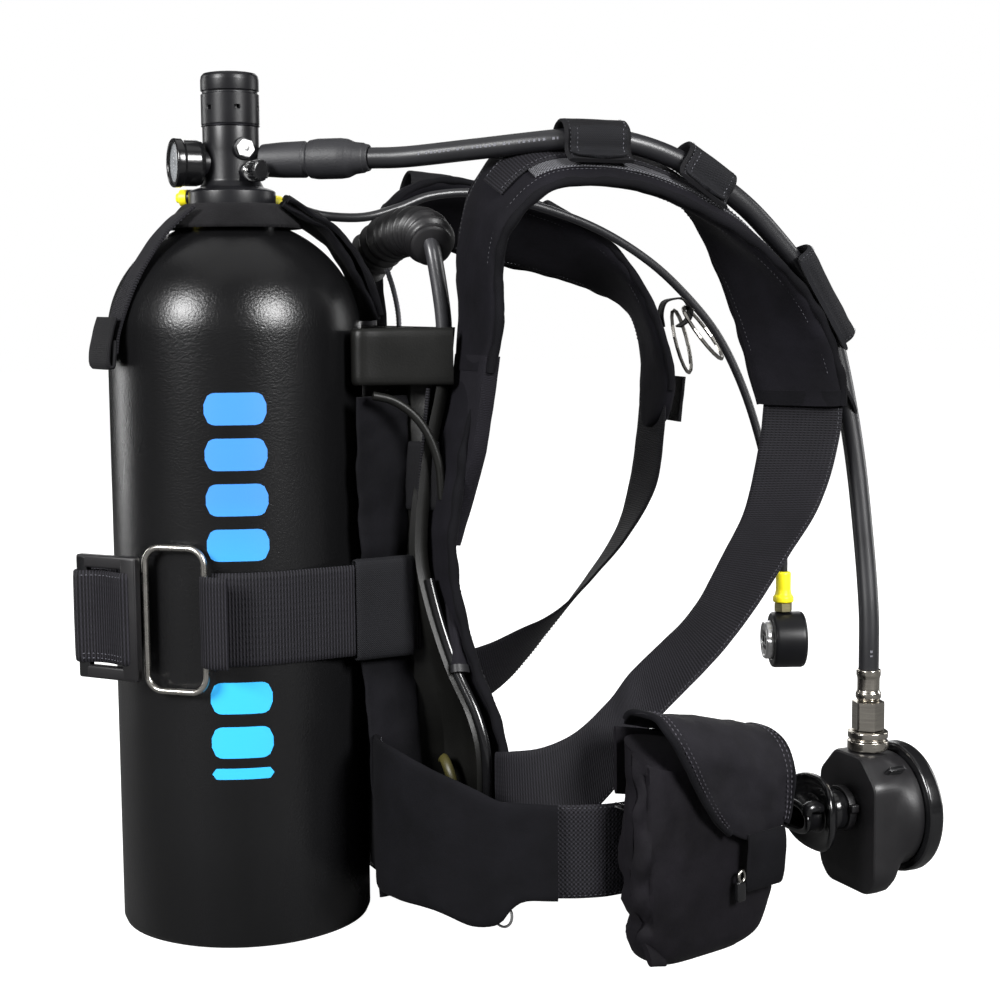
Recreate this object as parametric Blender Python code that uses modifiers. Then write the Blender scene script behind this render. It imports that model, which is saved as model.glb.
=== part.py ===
"""Breathing-air pack: a small high-pressure cylinder on a padded back frame, with its regulators and hoses.

Lengths below are in millimetres and become metres through MM. The frame's origin is the centre of the
cylinder's flat base, +Z is up, +X is the wearer's forward direction and +Y the wearer's left.
"""
import math

import bmesh
import bpy
from mathutils import Matrix, Vector

MM = 0.001
GAP = 0.3                      # clearance between neighbours

# Cylinder and its valve
TANK_R = 70.0
TANK_WALL = 8.0
SHOULDER_Z = 330.0             # where the straight wall ends
DOME_H = 64.0
NECK_TOP = 402.0
NECK_R = 17.0
NECK_BORE_R = 9.0
BODY_R = 15.5                  # first-stage body
COLLAR_R = 24.0
COLLAR_TOP = 409.5
BODY_TOP = 443.7
CAP_R = 16.0
CAP_TOP = 473.0
GAUGE_Z = 423.6
GAUGE_R = 12.5
PLUG_Z = 431.0
FILL_Z = 418.6
LP_Z = 425.0
HP_Z = 404.6

# Hoses
LP_R = 5.75
HP_R = 2.75
LP_DIR = (0.79, -0.61, 0.0)
HP_DIR = (0.8, 0.6, 0.0)
FILL_DIR = (0.3, -0.954, 0.0)
SPARE_DIR = (-0.8, 0.6, 0.0)
LP_ROUTE = (
    (63.5, -49.0, 424.8), (80, -61, 425), (110, -84, 428), (150, -113, 432), (176, -116, 432.5), (205, -118, 426),
    (232, -119, 414), (256, -119, 399), (277, -118, 381), (296, -118, 360), (312, -119, 333), (321, -121, 300),
    (327, -126, 255), (329, -133, 205), (328.6, -138.5, 170), (328, -140, 150), (328, -140, 136.4),
)
HP_ROUTE = (
    (35.6, 26.7, 404.6), (42, 31.5, 404.2), (53, 39, 401), (72, 50, 398), (98, 57, 398), (120, 59, 403.5),
    (143, 60, 411.5), (175, 60, 413.5), (215, 60, 406), (255, 60, 393), (290, 61, 375), (318, 62, 354),
    (345, 61, 325), (364, 59, 290), (378, 57, 249), (388, 56, 205), (393.8, 55, 181), (395, 55, 172), (395, 55, 163.5),
)

# Second stage, on the low-pressure hose
REG_X = 328.0
REG_Y = -140.0
REG_Z = 54.0                   # centre of the cover
REG_BACK_X = 314.0
REG_RIM_X = 344.7
MOUTH_Z = 57.0
LEVER_PIVOT = (328.0, REG_Y, 59.0)
REG_TOP = 89.0
REG_BOTTOM = 10.0
COVER_R = 37.5

# Console gauge, on the high-pressure hose
CONSOLE = (395.0, 55.0, 116.5)
CONSOLE_R = 19.0
CONSOLE_FACE = (-0.93, 0.367, 0.0)

# Back frame
CROWN_X = 81.0                 # recessed middle of the plate, next to the cylinder
CROWN_Y = 56.0
BAND_Z = 180.5                 # middle of the cam band
WEB_W = 50.0
WEB_T = 2.0
BAND_R = TANK_R + 0.4 + WEB_T / 2
SLOT = (82.5, 62.0)
PAD_T = 10.5
PLATE_T = 3.0
SADDLE_Z = (302.0, 333.0)
# z, flange x, half width of the flange
PLATE_STATIONS = (
    (14, 100, 70), (34, 103, 96), (62, 104, 107), (100, 104, 111), (124, 101, 106), (150, 94, 92), (185, 87, 80),
    (215, 84.5, 74), (260, 90, 72), (300, 99, 72), (333, 104, 70),
)
BACK_PAD_STATIONS = (
    (10, 78), (32, 100), (62, 109), (100, 112), (124, 108), (150, 98), (185, 92), (215, 90), (260, 92), (290, 94),
    (306, 93),
)

# Shoulder pads and webbing: middle of the strap, its width direction (inner edge to outer edge), width
PAD_RIGHT = (
    ((108.5, -85, 309.5), (0, -1, 0), 44), ((111, -88, 336), (0, -1, 0), 50), ((110, -90, 366), (0, -1, -0.08), 51),
    ((114, -95, 394), (0, -0.95, -0.3), 55), ((132, -99, 416.5), (0, -0.91, -0.42), 59),
    ((155, -103, 422.5), (0, -0.89, -0.45), 60), ((190, -105, 419), (0.05, -0.89, -0.45), 60),
    ((224, -108, 405), (0.15, -0.88, -0.45), 60), ((252, -110, 384), (0.28, -0.88, -0.38), 59),
    ((273, -111, 357), (0.4, -0.88, -0.22), 58), ((289, -111, 326), (0.47, -0.87, -0.05), 57),
    ((297, -112, 300), (0.5, -0.86, 0), 56), ((299, -112.5, 287), (0.5, -0.86, 0), 52),
)
WEB_RIGHT = (
    ((299.5, -113, 284), (0.5, -0.86, 0), 50), ((295, -115, 262), (0.5, -0.86, 0.03), 50),
    ((283, -119, 231), (0.42, -0.9, 0.08), 50), ((262, -125, 205), (0.27, -0.95, 0.1), 50),
    ((240, -132, 179), (0.12, -0.98, 0.12), 50), ((222, -138, 160), (-0.1, -0.98, 0.12), 50),
    ((204, -132, 146), (-0.25, -0.8, -0.5), 50), ((186, -128, 127), (-0.2, -0.62, -0.76), 50),
    ((164, -146, 108), (-0.05, -0.42, -0.9), 50), ((142, -148, 94), (0, -0.25, -0.97), 50),
    ((122, -142, 87), (0, -0.15, -0.99), 50), ((108, -130, 84), (0, -0.05, -1), 50),
    ((104.5, -118.5, 83), (0, 0, -1), 48),
)
PAD_LEFT = (
    ((108.5, 85, 309.5), (0, 1, 0), 44), ((111, 88, 336), (0, 1, 0), 50), ((110, 90, 362), (0, 1, -0.08), 51),
    ((115, 93, 387), (0, 0.93, -0.35), 56), ((135, 94, 401), (0, 0.84, -0.54), 59),
    ((165, 93, 403), (0, 0.78, -0.62), 60),
    ((208, 91, 392), (0.05, 0.75, -0.66), 58), ((245, 90, 382), (0.12, 0.77, -0.62), 56),
    ((278, 90, 367), (0.2, 0.85, -0.48), 54), ((302, 90, 346), (0.3, 0.93, -0.2), 52),
    ((314, 90, 318), (0.2, 0.98, 0), 50), ((317, 90, 289), (0.12, 0.99, 0), 50), ((313, 91, 262), (0.1, 0.99, 0.05), 46),
)
WEB_LEFT = (
    ((312.5, 91.5, 259), (0.1, 0.99, 0.04), 46), ((307, 92, 225), (0.15, 0.98, 0.02), 50),
    ((294, 95, 193), (0.28, 0.95, -0.08), 50), ((269, 98, 161), (0.3, 0.92, -0.22), 50),
    ((242, 100, 133), (0.2, 0.85, -0.48), 50), ((214, 101, 113), (0.08, 0.6, -0.8), 50),
    ((184, 103, 99), (0, 0.4, -0.92), 50), ((150, 108, 93), (0, 0.2, -0.98), 50),
    ((126, 118, 93), (0, 0.05, -1), 50), ((104.5, 119.5, 93), (0, 0, -1), 48),
)
BELT_RIGHT = (
    ((54, -103, 78), (0, 0, -1), 50), ((66, -126, 68), (0, 0, -1), 50), ((91, -150, 64), (0, 0, -1), 50),
    ((119, -163, 62), (0, 0, -1), 50), ((147, -165, 60), (0, 0, -1), 50), ((178, -157, 58), (0, 0, -1), 50),
    ((203, -149.5, 56), (0, 0, -1), 50), ((220, -145, 55), (0, 0, -1), 50),
)
BELT_LEFT = (
    ((60, 107, 74), (0, 0, -1), 50), ((72, 128, 60), (0, 0, -1), 50), ((94, 146, 40), (0, 0.1, -1), 50),
    ((122, 156, 30), (0, 0.15, -1), 50), ((150, 154, 27.5), (0, 0.1, -1), 50), ((172, 146, 27), (0, 0, -1), 50),
)

# Carry handle
HANDLE_FOOT = (101.0, 60.0, 336.0)
GRIP_R = 14.0
HANDLE_R = 4.5
GRIP_PATH = (
    (97.5, -53, 377), (100, -40, 383), (101.5, -23, 386.5), (101.5, -4, 387), (100, 14, 385), (97.5, 31, 379),
    (93.5, 45, 370),
)

# Cam band hardware
RING_AXIS = (-39.0, -66.0)     # bar of the ring that the webbing folds round
RING_FAR = (-64.5, -41.5)      # bar that the buckle hooks
RING_H = 77.0
RING_WIRE = 1.5
BUCKLE_NEAR = (-69.0, -43.5)
BUCKLE_PIVOT = (-93.5, -12.5)
BUCKLE_H = 66.0
BUCKLE_T = 5.0

# Pouch on the waist belt. Its own frame starts at the back, rear corner and runs along the belt and outwards.
POUCH_CORNER = (143.0, -171.0)
POUCH_TURN = math.radians(15)
# z, middle along the belt, half length, middle of the depth, half depth
POUCH = (
    (0.6, 50, 30, 16, 9), (9, 51, 44, 16, 14.5), (34, 52, 51, 16.5, 17), (70, 52, 52, 16.5, 17), (96, 52, 51, 15.5, 15),
    (106, 52, 50, 14.5, 13.5),
)
POUCH_WALL = 2.5
POUCH_RISE = 0.6               # how much higher the mouth is at the back than at the front, per depth
# depth, height at the middle, rear edge, front edge
FLAP = (
    (-2.0, 117, 14, 104), (0, 122, 14, 104), (6, 125, 14, 104), (20, 125, 14, 104), (31, 119, 13, 104),
    (36.5, 107, 19, 104), (37.2, 92, 30, 103), (37.2, 78, 42, 101), (36.5, 67, 56, 97), (36, 60, 66, 88),
)
FLAP_SLOPE = 0.23

COLLECTION = "breathing_air_pack"
PARTS = {}


def material(name, colour, roughness, metallic=0.0):
    made = bpy.data.materials.new(name)
    made.use_nodes = True
    shader = made.node_tree.nodes["Principled BSDF"]
    shader.inputs["Base Color"].default_value = (*colour, 1.0)
    shader.inputs["Roughness"].default_value = roughness
    shader.inputs["Metallic"].default_value = metallic
    return made


LOOKS = {
    "black_paint": ((0.012, 0.012, 0.012), 0.42, 0.0),
    "black_metal": ((0.015, 0.015, 0.018), 0.35, 0.6),
    "black_plastic": ((0.018, 0.018, 0.02), 0.45, 0.0),
    "black_rubber": ((0.015, 0.015, 0.016), 0.55, 0.0),
    "webbing": ((0.028, 0.027, 0.033), 0.85, 0.0),
    "padding": ((0.016, 0.015, 0.02), 0.9, 0.0),
    "steel": ((0.55, 0.54, 0.51), 0.3, 1.0),
    "nickel": ((0.6, 0.58, 0.54), 0.25, 1.0),
    "brass": ((0.6, 0.52, 0.28), 0.3, 1.0),
    "yellow_plastic": ((0.9, 0.8, 0.02), 0.45, 0.0),
    "glass": ((0.8, 0.85, 0.88), 0.05, 0.0),
}


def place(name, mesh, look, matrix=None, cutter=False):
    """Adds the mesh to the scene as one named piece with its own material."""
    thing = bpy.data.objects.new(name, mesh)
    if matrix is not None:
        thing.matrix_world = matrix
    if cutter:
        bpy.data.collections["cutters"].objects.link(thing)
        thing.hide_render = True
        thing.display_type = "WIRE"
        return thing
    bpy.data.collections[COLLECTION].objects.link(thing)
    thing.data.materials.clear()
    thing.data.materials.append(material(name, *LOOKS[look]))
    PARTS[name] = thing
    return thing


def aim(origin, direction):
    """A matrix whose local Z points along direction, at origin in millimetres."""
    turn = Vector(direction).normalized().to_track_quat("Z", "Y").to_matrix().to_4x4()
    return Matrix.Translation(Vector(origin) * MM) @ turn


def lathe(name, profile, look, origin=(0, 0, 0), direction=(0, 0, 1), steps=24, closed=False, cutter=False):
    """Turns a profile of (radius, height), which runs down its outer side, about its local Z."""
    mesh = bpy.data.meshes.new(name)
    points = [(radius * MM, 0.0, height * MM) for radius, height in profile]
    edges = [(i, i + 1) for i in range(len(points) - 1)]
    if closed:
        edges.append((len(points) - 1, 0))
    mesh.from_pydata(points, edges, [])
    thing = place(name, mesh, look, aim(origin, direction), cutter)
    screw = thing.modifiers.new("turn", "SCREW")
    screw.axis = "Z"
    screw.angle = math.tau
    screw.steps = steps
    screw.render_steps = steps
    screw.use_merge_vertices = True
    screw.merge_threshold = 0.00001
    screw.use_smooth_shade = True
    return thing


def rod(name, radius, low, high, look, origin=(0, 0, 0), direction=(0, 0, 1), steps=24, cutter=False):
    """A plain round bar between two heights along its axis."""
    profile = [(0, high), (radius, high), (radius, low), (0, low)]
    return lathe(name, profile, look, origin, direction, steps, cutter=cutter)


def hexagon(name, across_flats, low, high, look, origin=(0, 0, 0), direction=(0, 0, 1), turn=0.0):
    """A hexagonal bar between two heights along its axis."""
    shape = bmesh.new()
    radius = across_flats / math.sqrt(3) * MM
    middle = Matrix.Translation((0, 0, (low + high) / 2 * MM)) @ Matrix.Rotation(turn, 4, "Z")
    bmesh.ops.create_cone(shape, cap_ends=True, segments=6, radius1=radius, radius2=radius,
                          depth=(high - low) * MM, matrix=middle)
    mesh = bpy.data.meshes.new(name)
    shape.to_mesh(mesh)
    shape.free()
    return place(name, mesh, look, aim(origin, direction))


def block(name, size, centre, look, turn=None, bevel=0.0, segments=2, cutter=False):
    """A box with rounded edges, turned by a rotation matrix."""
    shape = bmesh.new()
    bmesh.ops.create_cube(shape, size=1.0, matrix=Matrix.Diagonal((*[side * MM for side in size], 1.0)))
    mesh = bpy.data.meshes.new(name)
    shape.to_mesh(mesh)
    shape.free()
    matrix = Matrix.Translation(Vector(centre) * MM)
    if turn is not None:
        matrix = matrix @ turn
    thing = place(name, mesh, look, matrix, cutter)
    if bevel:
        rounding = thing.modifiers.new("edges", "BEVEL")
        rounding.width = bevel * MM
        rounding.segments = segments
    return thing


def spline_points(route, spacing):
    """Points about one spacing apart on a smooth Catmull-Rom curve through the route's points."""
    nodes = [Vector(point) for point in route]
    ends = [nodes[0] * 2 - nodes[1]] + nodes + [nodes[-1] * 2 - nodes[-2]]
    points = [nodes[0]]
    for i in range(1, len(ends) - 2):
        a, b, c, d = ends[i - 1:i + 3]
        count = max(1, round((c - b).length / spacing))
        for k in range(1, count + 1):
            t = k / count
            points.append(0.5 * (2 * b + (c - a) * t + (2 * a - 5 * b + 4 * c - d) * t ** 2
                                 + (3 * b - a - 3 * c + d) * t ** 3))
    return points


def tube(name, points, radius, look, cyclic=False, resolution=2):
    """A round wire or hose along the points, in millimetres."""
    curve = bpy.data.curves.new(name, "CURVE")
    curve.dimensions = "3D"
    curve.bevel_depth = radius * MM
    curve.bevel_resolution = resolution
    curve.use_fill_caps = not cyclic
    line = curve.splines.new("POLY")
    line.points.add(len(points) - 1)
    for spot, point in zip(line.points, points):
        spot.co = (*(Vector(point) * MM), 1.0)
    line.use_cyclic_u = cyclic
    return place(name, curve, look)


def as_mesh(thing):
    """Replaces a curve object by a mesh object of the same name with welded caps."""
    name = thing.name
    graph = bpy.context.evaluated_depsgraph_get()
    mesh = bpy.data.meshes.new_from_object(thing.evaluated_get(graph))
    shape = bmesh.new()
    shape.from_mesh(mesh)
    bmesh.ops.remove_doubles(shape, verts=shape.verts, dist=0.00001)
    shape.to_mesh(mesh)
    shape.free()
    matrix = thing.matrix_world.copy()
    keep = thing.data.materials[0]
    bpy.data.objects.remove(thing)
    made = bpy.data.objects.new(name, mesh)
    made.name = name
    made.matrix_world = matrix
    bpy.data.collections[COLLECTION].objects.link(made)
    mesh.materials.clear()
    mesh.materials.append(keep)
    PARTS[name] = made
    return made


def as_cutter(thing):
    """Moves a finished piece from the model to the cutters."""
    bpy.data.collections[COLLECTION].objects.unlink(thing)
    bpy.data.collections["cutters"].objects.link(thing)
    thing.hide_render = True
    thing.display_type = "WIRE"


def cut(thing, cutter, operation="DIFFERENCE"):
    """Adds an exact Boolean by another piece."""
    step = thing.modifiers.new(operation.lower(), "BOOLEAN")
    step.operation = operation
    step.object = cutter
    step.solver = "EXACT"


def grid(name, rows, look, thickness, close_rows=False, offset=0.0):
    """A sheet through rows of points, in millimetres, thickened to a solid."""
    columns = len(rows[0])
    points = [Vector(point) * MM for row in rows for point in row]
    faces = []
    count = len(rows)
    for i in range(count if close_rows else count - 1):
        for j in range(columns - 1):
            here = i * columns + j
            there = (i + 1) % count * columns + j
            faces.append((here, here + 1, there + 1, there))
    mesh = bpy.data.meshes.new(name)
    mesh.from_pydata(points, [], faces)
    thing = place(name, mesh, look)
    shell = thing.modifiers.new("shell", "SOLIDIFY")
    shell.thickness = thickness * MM
    shell.offset = offset
    return thing


def ribbon_rows(stations, spacing, columns=2):
    """Rows of points across a flat strap whose stations give its middle, width direction and width."""
    edges = []
    for side in (-0.5, 0.5):
        route = [Vector(middle) + Vector(across).normalized() * width * side for middle, across, width in stations]
        edges.append(route)
    middles = [Vector(middle) for middle, _, _ in stations]
    counts = [max(1, round((b - a).length / spacing)) for a, b in zip(middles, middles[1:])]
    lines = [even_points(route, counts) for route in edges]
    rows = []
    for inner, outer in zip(*lines):
        rows.append([inner.lerp(outer, k / (columns - 1)) for k in range(columns)])
    return rows


def even_points(route, counts):
    """Catmull-Rom points with a set number of steps between each two route points."""
    ends = [route[0] * 2 - route[1]] + list(route) + [route[-1] * 2 - route[-2]]
    points = [route[0]]
    for i, count in enumerate(counts, 1):
        a, b, c, d = ends[i - 1:i + 3]
        for k in range(1, count + 1):
            t = k / count
            points.append(0.5 * (2 * b + (c - a) * t + (2 * a - 5 * b + 4 * c - d) * t ** 2
                                 + (3 * b - a - 3 * c + d) * t ** 3))
    return points


def ribbon(name, stations, look, thickness, spacing=14, columns=2):
    return grid(name, ribbon_rows(stations, spacing, columns), look, thickness)


def pivot_at(thing, point):
    """Moves a mesh object's origin onto a joint's axis, in millimetres."""
    world = thing.matrix_world.copy()
    move = Matrix.Translation(Vector(point) * MM)
    thing.data.transform(move.inverted() @ world)
    thing.matrix_world = move


def dome_height(radius, semi_axis, height):
    return SHOULDER_Z + height * math.sqrt(max(0.0, 1 - (radius / semi_axis) ** 2))


def make_cylinder():
    inner = TANK_R - TANK_WALL
    profile = [(0, 10), (inner - 8, 10), (inner - 2, 13), (inner, 20)]
    for k in range(4):
        angle = math.radians(k * 24)
        profile.append((inner * math.cos(angle), SHOULDER_Z + (DOME_H - TANK_WALL) * math.sin(angle)))
    profile.append((NECK_BORE_R, dome_height(NECK_BORE_R, inner, DOME_H - TANK_WALL)))
    profile += [(NECK_BORE_R, NECK_TOP), (NECK_R, NECK_TOP)]
    profile.append((NECK_R, dome_height(NECK_R, TANK_R, DOME_H)))
    for k in range(5, -1, -1):
        angle = math.radians(k * 14.0)
        profile.append((TANK_R * math.cos(angle), SHOULDER_Z + DOME_H * math.sin(angle)))
    profile += [(TANK_R, 4), (TANK_R - 1.2, 1.2), (TANK_R - 4, 0), (0, 0)]
    lathe("cylinder", profile, "black_paint", steps=30)


def make_first_stage():
    seat = NECK_TOP + GAP
    profile = [
        (0, 424), (4, 424), (4, 428), (11, 428), (11, BODY_TOP), (BODY_R, BODY_TOP), (BODY_R, COLLAR_TOP + 2),
        (BODY_R + 2, COLLAR_TOP), (COLLAR_R - 1, COLLAR_TOP), (COLLAR_R, COLLAR_TOP - 1), (COLLAR_R, 398.5),
        (NECK_R + 2, 398.5), (NECK_R + 2, seat), (NECK_BORE_R - 0.5, seat), (NECK_BORE_R - 0.5, 384), (0, 384),
    ]
    body = lathe("valve_body", profile, "black_metal", steps=20)
    bosses = (
        ("gauge_boss", 7.5, 12.5, 17, GAUGE_Z, (-1, 0, 0)), ("lp_boss", 7.0, 12.5, 18, LP_Z, LP_DIR),
        ("plug_boss", 6.0, 12.5, 16.6, PLUG_Z, (0.17, -0.985, 0)), ("fill_boss", 4.6, 12.5, 18, FILL_Z, FILL_DIR),
        ("pressure_boss", 4.5, 18, 25.5, HP_Z, HP_DIR), ("spare_boss", 4.5, 18, 25.5, HP_Z + 1, SPARE_DIR),
    )
    for name, radius, start, end, height, direction in bosses:
        tool = rod(name, radius, start, end, None, (0, 0, height), direction, 10, cutter=True)
        cut(body, tool, "UNION")
    profile = [
        (0, CAP_TOP), (CAP_R - 3, CAP_TOP), (CAP_R - 0.9, CAP_TOP - 0.9), (CAP_R, CAP_TOP - 3), (CAP_R, 462.6),
        (CAP_R - 0.7, 462), (CAP_R, 461.4), (CAP_R, 444.6), (CAP_R - 0.6, 444), (12.5, 444), (12.5, 469), (0, 469),
    ]
    cap = lathe("top_cap", profile, "black_metal", steps=20)
    for k in range(4):
        angle = math.radians(-52 + 90 * k)
        direction = (math.cos(angle), math.sin(angle), 0)
        tool = rod(f"cap_hole_{k}", 1.3, 8, 20, None, (0, 0, 455), direction, 8, cutter=True)
        cut(cap, tool)
    piston = [
        (0, 436), (10.7, 436), (10.7, 432.5), (3.6, 432.5), (3.6, 424.4), (0, 424.4),
    ]
    lathe("piston", piston, "nickel", steps=16)
    turns, per_turn, low, high = 5, 8, 437.4, 467.4
    coil = [(8.5 * math.cos(math.tau * k / per_turn), 8.5 * math.sin(math.tau * k / per_turn),
             low + (high - low) * k / (turns * per_turn)) for k in range(turns * per_turn + 1)]
    tube("main_spring", coil, 1.0, "steel", resolution=0)


def make_cylinder_gauge():
    origin = (0, 0, GAUGE_Z)
    back = (-1, 0, 0)
    case = [
        (0, 30), (10.6, 30), (10.6, 33.4), (11.6, 33.6), (GAUGE_R + 0.9, 33.0), (GAUGE_R + 0.9, 28.6),
        (GAUGE_R, 28.0), (GAUGE_R, 18.4), (GAUGE_R - 1, 17.3), (0, 17.3),
    ]
    lathe("gauge_case", case, "black_metal", origin, back, 20)
    rod("gauge_lens", 10.3, 32.4, 33.2, "glass", origin, back, 16)
    needle = block("gauge_needle", (0.6, 1.0, 9.0), (-31.6, 0, GAUGE_Z - 2.2), "black_metal")
    pivot_at(needle, (-31.6, 0, GAUGE_Z))


def make_ports():
    hexagon("port_plug", 8.8, 16.9, 19.5, "nickel", (0, 0, PLUG_Z), (0.17, -0.985, 0), math.radians(12))
    fill = [(0, 22.5), (4.6, 22.5), (4.6, 20.5), (5.4, 20.2), (5.4, 18.3), (0, 18.3)]
    lathe("fill_valve", fill, "nickel", (0, 0, FILL_Z), FILL_DIR, 16)
    knurl = [(0, 29), (5.2, 29), (5.9, 28.3), (5.9, 22.8), (0, 22.8)]
    lathe("fill_cap", knurl, "black_plastic", (0, 0, FILL_Z), FILL_DIR, 16)
    spare = [(0, 32.5), (2.6, 32.5), (2.9, 30.6), (4.6, 30.2), (4.6, 25.8), (0, 25.8)]
    lathe("pressure_port_cap", spare, "yellow_plastic", (0, 0, HP_Z + 1), SPARE_DIR, 14)
    reach = math.hypot(LP_ROUTE[0][0], LP_ROUTE[0][1]) - GAP
    sleeve = [
        (0, reach), (7.2, reach), (7.6, reach - 1.5), (8.4, reach - 7), (10.6, reach - 14), (10.9, reach - 30),
        (9.3, reach - 36), (8.9, reach - 52), (8.2, 18.3), (0, 18.3),
    ]
    lathe("lp_sleeve", sleeve, "black_rubber", (0, 0, LP_Z), LP_DIR, 18)
    reach = math.hypot(HP_ROUTE[0][0], HP_ROUTE[0][1]) - GAP
    sleeve = [(0, reach), (3.6, reach), (4.0, reach - 8), (5.0, reach - 12), (5.0, 25.8), (0, 25.8)]
    lathe("pressure_sleeve", sleeve, "yellow_plastic", (0, 0, HP_Z), HP_DIR, 14)


def make_hoses():
    tube("lp_hose", spline_points(LP_ROUTE, 17), LP_R, "black_rubber")
    tube("pressure_hose", spline_points(HP_ROUTE, 15), HP_R, "black_rubber")


def make_regulator():
    axis = (REG_X, REG_Y, 0)
    ferrule = [
        (0, 136), (6.9, 136), (6.9, 133), (6.3, 131), (6.3, 124), (7.2, 122.6), (7.2, 120), (6.2, 118.2), (0, 118.2),
    ]
    lathe("lp_ferrule", ferrule, "nickel", axis, steps=18)
    hexagon("lp_nut", 16.4, 101.2, 117.9, "nickel", axis, turn=math.radians(10))
    fitting = [
        (0, 100.9), (10.6, 100.9), (11.4, 100.2), (11.4, 96.4), (10.4, 95.6), (11.6, 94.9), (11.6, 90),
        (7.5, 89.3), (7.5, 82.5), (0, 82.5),
    ]
    lathe("inlet_fitting", fitting, "nickel", axis, steps=20)

    case = block("regulator_case", (26, 56, REG_TOP - REG_BOTTOM),
                 (REG_BACK_X + 13, REG_Y, (REG_TOP + REG_BOTTOM) / 2), "black_plastic", bevel=6, segments=2)
    centre = (REG_RIM_X, REG_Y, REG_Z)
    dome = [(0, 0), (32, 0), (33, -2), (33, -7), (30, -13), (25, -18), (0, -18)]
    cut(case, lathe("case_dome", dome, None, centre, (1, 0, 0), 24, cutter=True), "UNION")
    cavity = [(0, 3), (29.5, 3), (29.5, -7), (25, -14), (20.5, -26), (0, -26)]
    cut(case, lathe("case_cavity", cavity, None, centre, (1, 0, 0), 18, cutter=True))
    cut(case, rod("mouth_bore", 8.5, 300, 322, None, (0, REG_Y, MOUTH_Z), (1, 0, 0), 16, cutter=True))
    cut(case, rod("inlet_bore", 7.8, 70, 92, None, axis, steps=18, cutter=True))
    cut(case, rod("exhaust_bore", 8.0, 5, 36, None, (REG_X - 2, REG_Y, 0), steps=18, cutter=True))

    valve = [(0, 82.2), (7.0, 82.2), (7.0, 66), (5, 64), (5, 61), (0, 61)]
    lathe("demand_valve", valve, "nickel", axis, steps=16)
    lever = tube("demand_lever", [(329.5, REG_Y, 58.6), (334, REG_Y, 57.6), (338, REG_Y, 54), (340.4, REG_Y, 48.5),
                                  (340.7, REG_Y, 43)], 1.1, "steel", resolution=1)
    lever = as_mesh(lever)
    pivot_at(lever, LEVER_PIVOT)
    rod("exhaust_valve", 7.4, 12.0, 13.2, "black_rubber", (REG_X - 2, REG_Y, 0), steps=16)

    wave = [(0, 0.2), (20, 0.2), (23.5, -1.2), (28.8, -0.4), (28.8, -1.6), (23.5, -2.4), (20, -1.0), (0, -1.0)]
    lathe("diaphragm", wave, "black_rubber", centre, (1, 0, 0), 18)
    ring = [(23.5, 9), (24, 10.1), (34, 10.4), (COVER_R - 0.8, 9.8), (COVER_R, 8), (COVER_R, 1), (COVER_R - 1, 0.4),
            (29.5, 0.4), (29.5, 6.6), (23.5, 6.6)]
    lathe("cover_ring", ring, "black_rubber", centre, (1, 0, 0), 24, closed=True)
    purge = [
        (0, 11), (15, 10.6), (22, 9.4), (23.1, 8.6), (23.1, 6.4), (28.2, 6.1), (28.2, 5.2), (6, 5.2), (5.5, 3.6), (0, 3.6),
    ]
    lathe("purge_button", purge, "black_plastic", centre, (1, 0, 0), 18)
    make_mouthpiece()


def oval(x, half_y, half_z, bend, count=16):
    """A closed oval section of the mouthpiece, bent back towards the wearer's cheeks."""
    ring = []
    for k in range(count):
        angle = math.tau * k / count
        y = half_y * math.cos(angle)
        ring.append((x - bend * (y / 25.0) ** 2, REG_Y + y, MOUTH_Z + half_z * math.sin(angle)))
    return ring


def make_mouthpiece():
    rings = [
        oval(313.6, 11, 11, 0), oval(305, 11, 11, 0), oval(299, 12.5, 10.5, 0), oval(296, 16, 12, 0),
        oval(293.6, 25, 21.5, 4), oval(290.8, 25, 21.5, 4), oval(288.5, 18, 9.5, 3), oval(282, 19.5, 8, 4),
        oval(277.5, 20, 9.5, 4),
    ]
    inner = [oval(277.5, 15.5, 5.2, 4), oval(288, 14, 5, 3), oval(300, 9, 7, 0), oval(313.6, 8, 8, 0)]
    rings += inner
    count = len(rings[0])
    points = [Vector(point) * MM for ring in rings for point in ring]
    faces = []
    for i in range(len(rings)):
        for j in range(count):
            a, b = i * count, (i + 1) % len(rings) * count
            faces.append((a + j, b + j, b + (j + 1) % count, a + (j + 1) % count))
    mesh = bpy.data.meshes.new("mouthpiece")
    mesh.from_pydata(points, [], faces)
    shape = bmesh.new()
    shape.from_mesh(mesh)
    bmesh.ops.recalc_face_normals(shape, faces=shape.faces)
    shape.to_mesh(mesh)
    shape.free()
    place("mouthpiece", mesh, "black_rubber")
    tie = [(11.4, 312), (13.2, 312), (13.2, 307.6), (11.4, 307.6)]
    lathe("mouthpiece_tie", tie, "black_plastic", (0, REG_Y, MOUTH_Z), (1, 0, 0), 18, closed=True)


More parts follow.
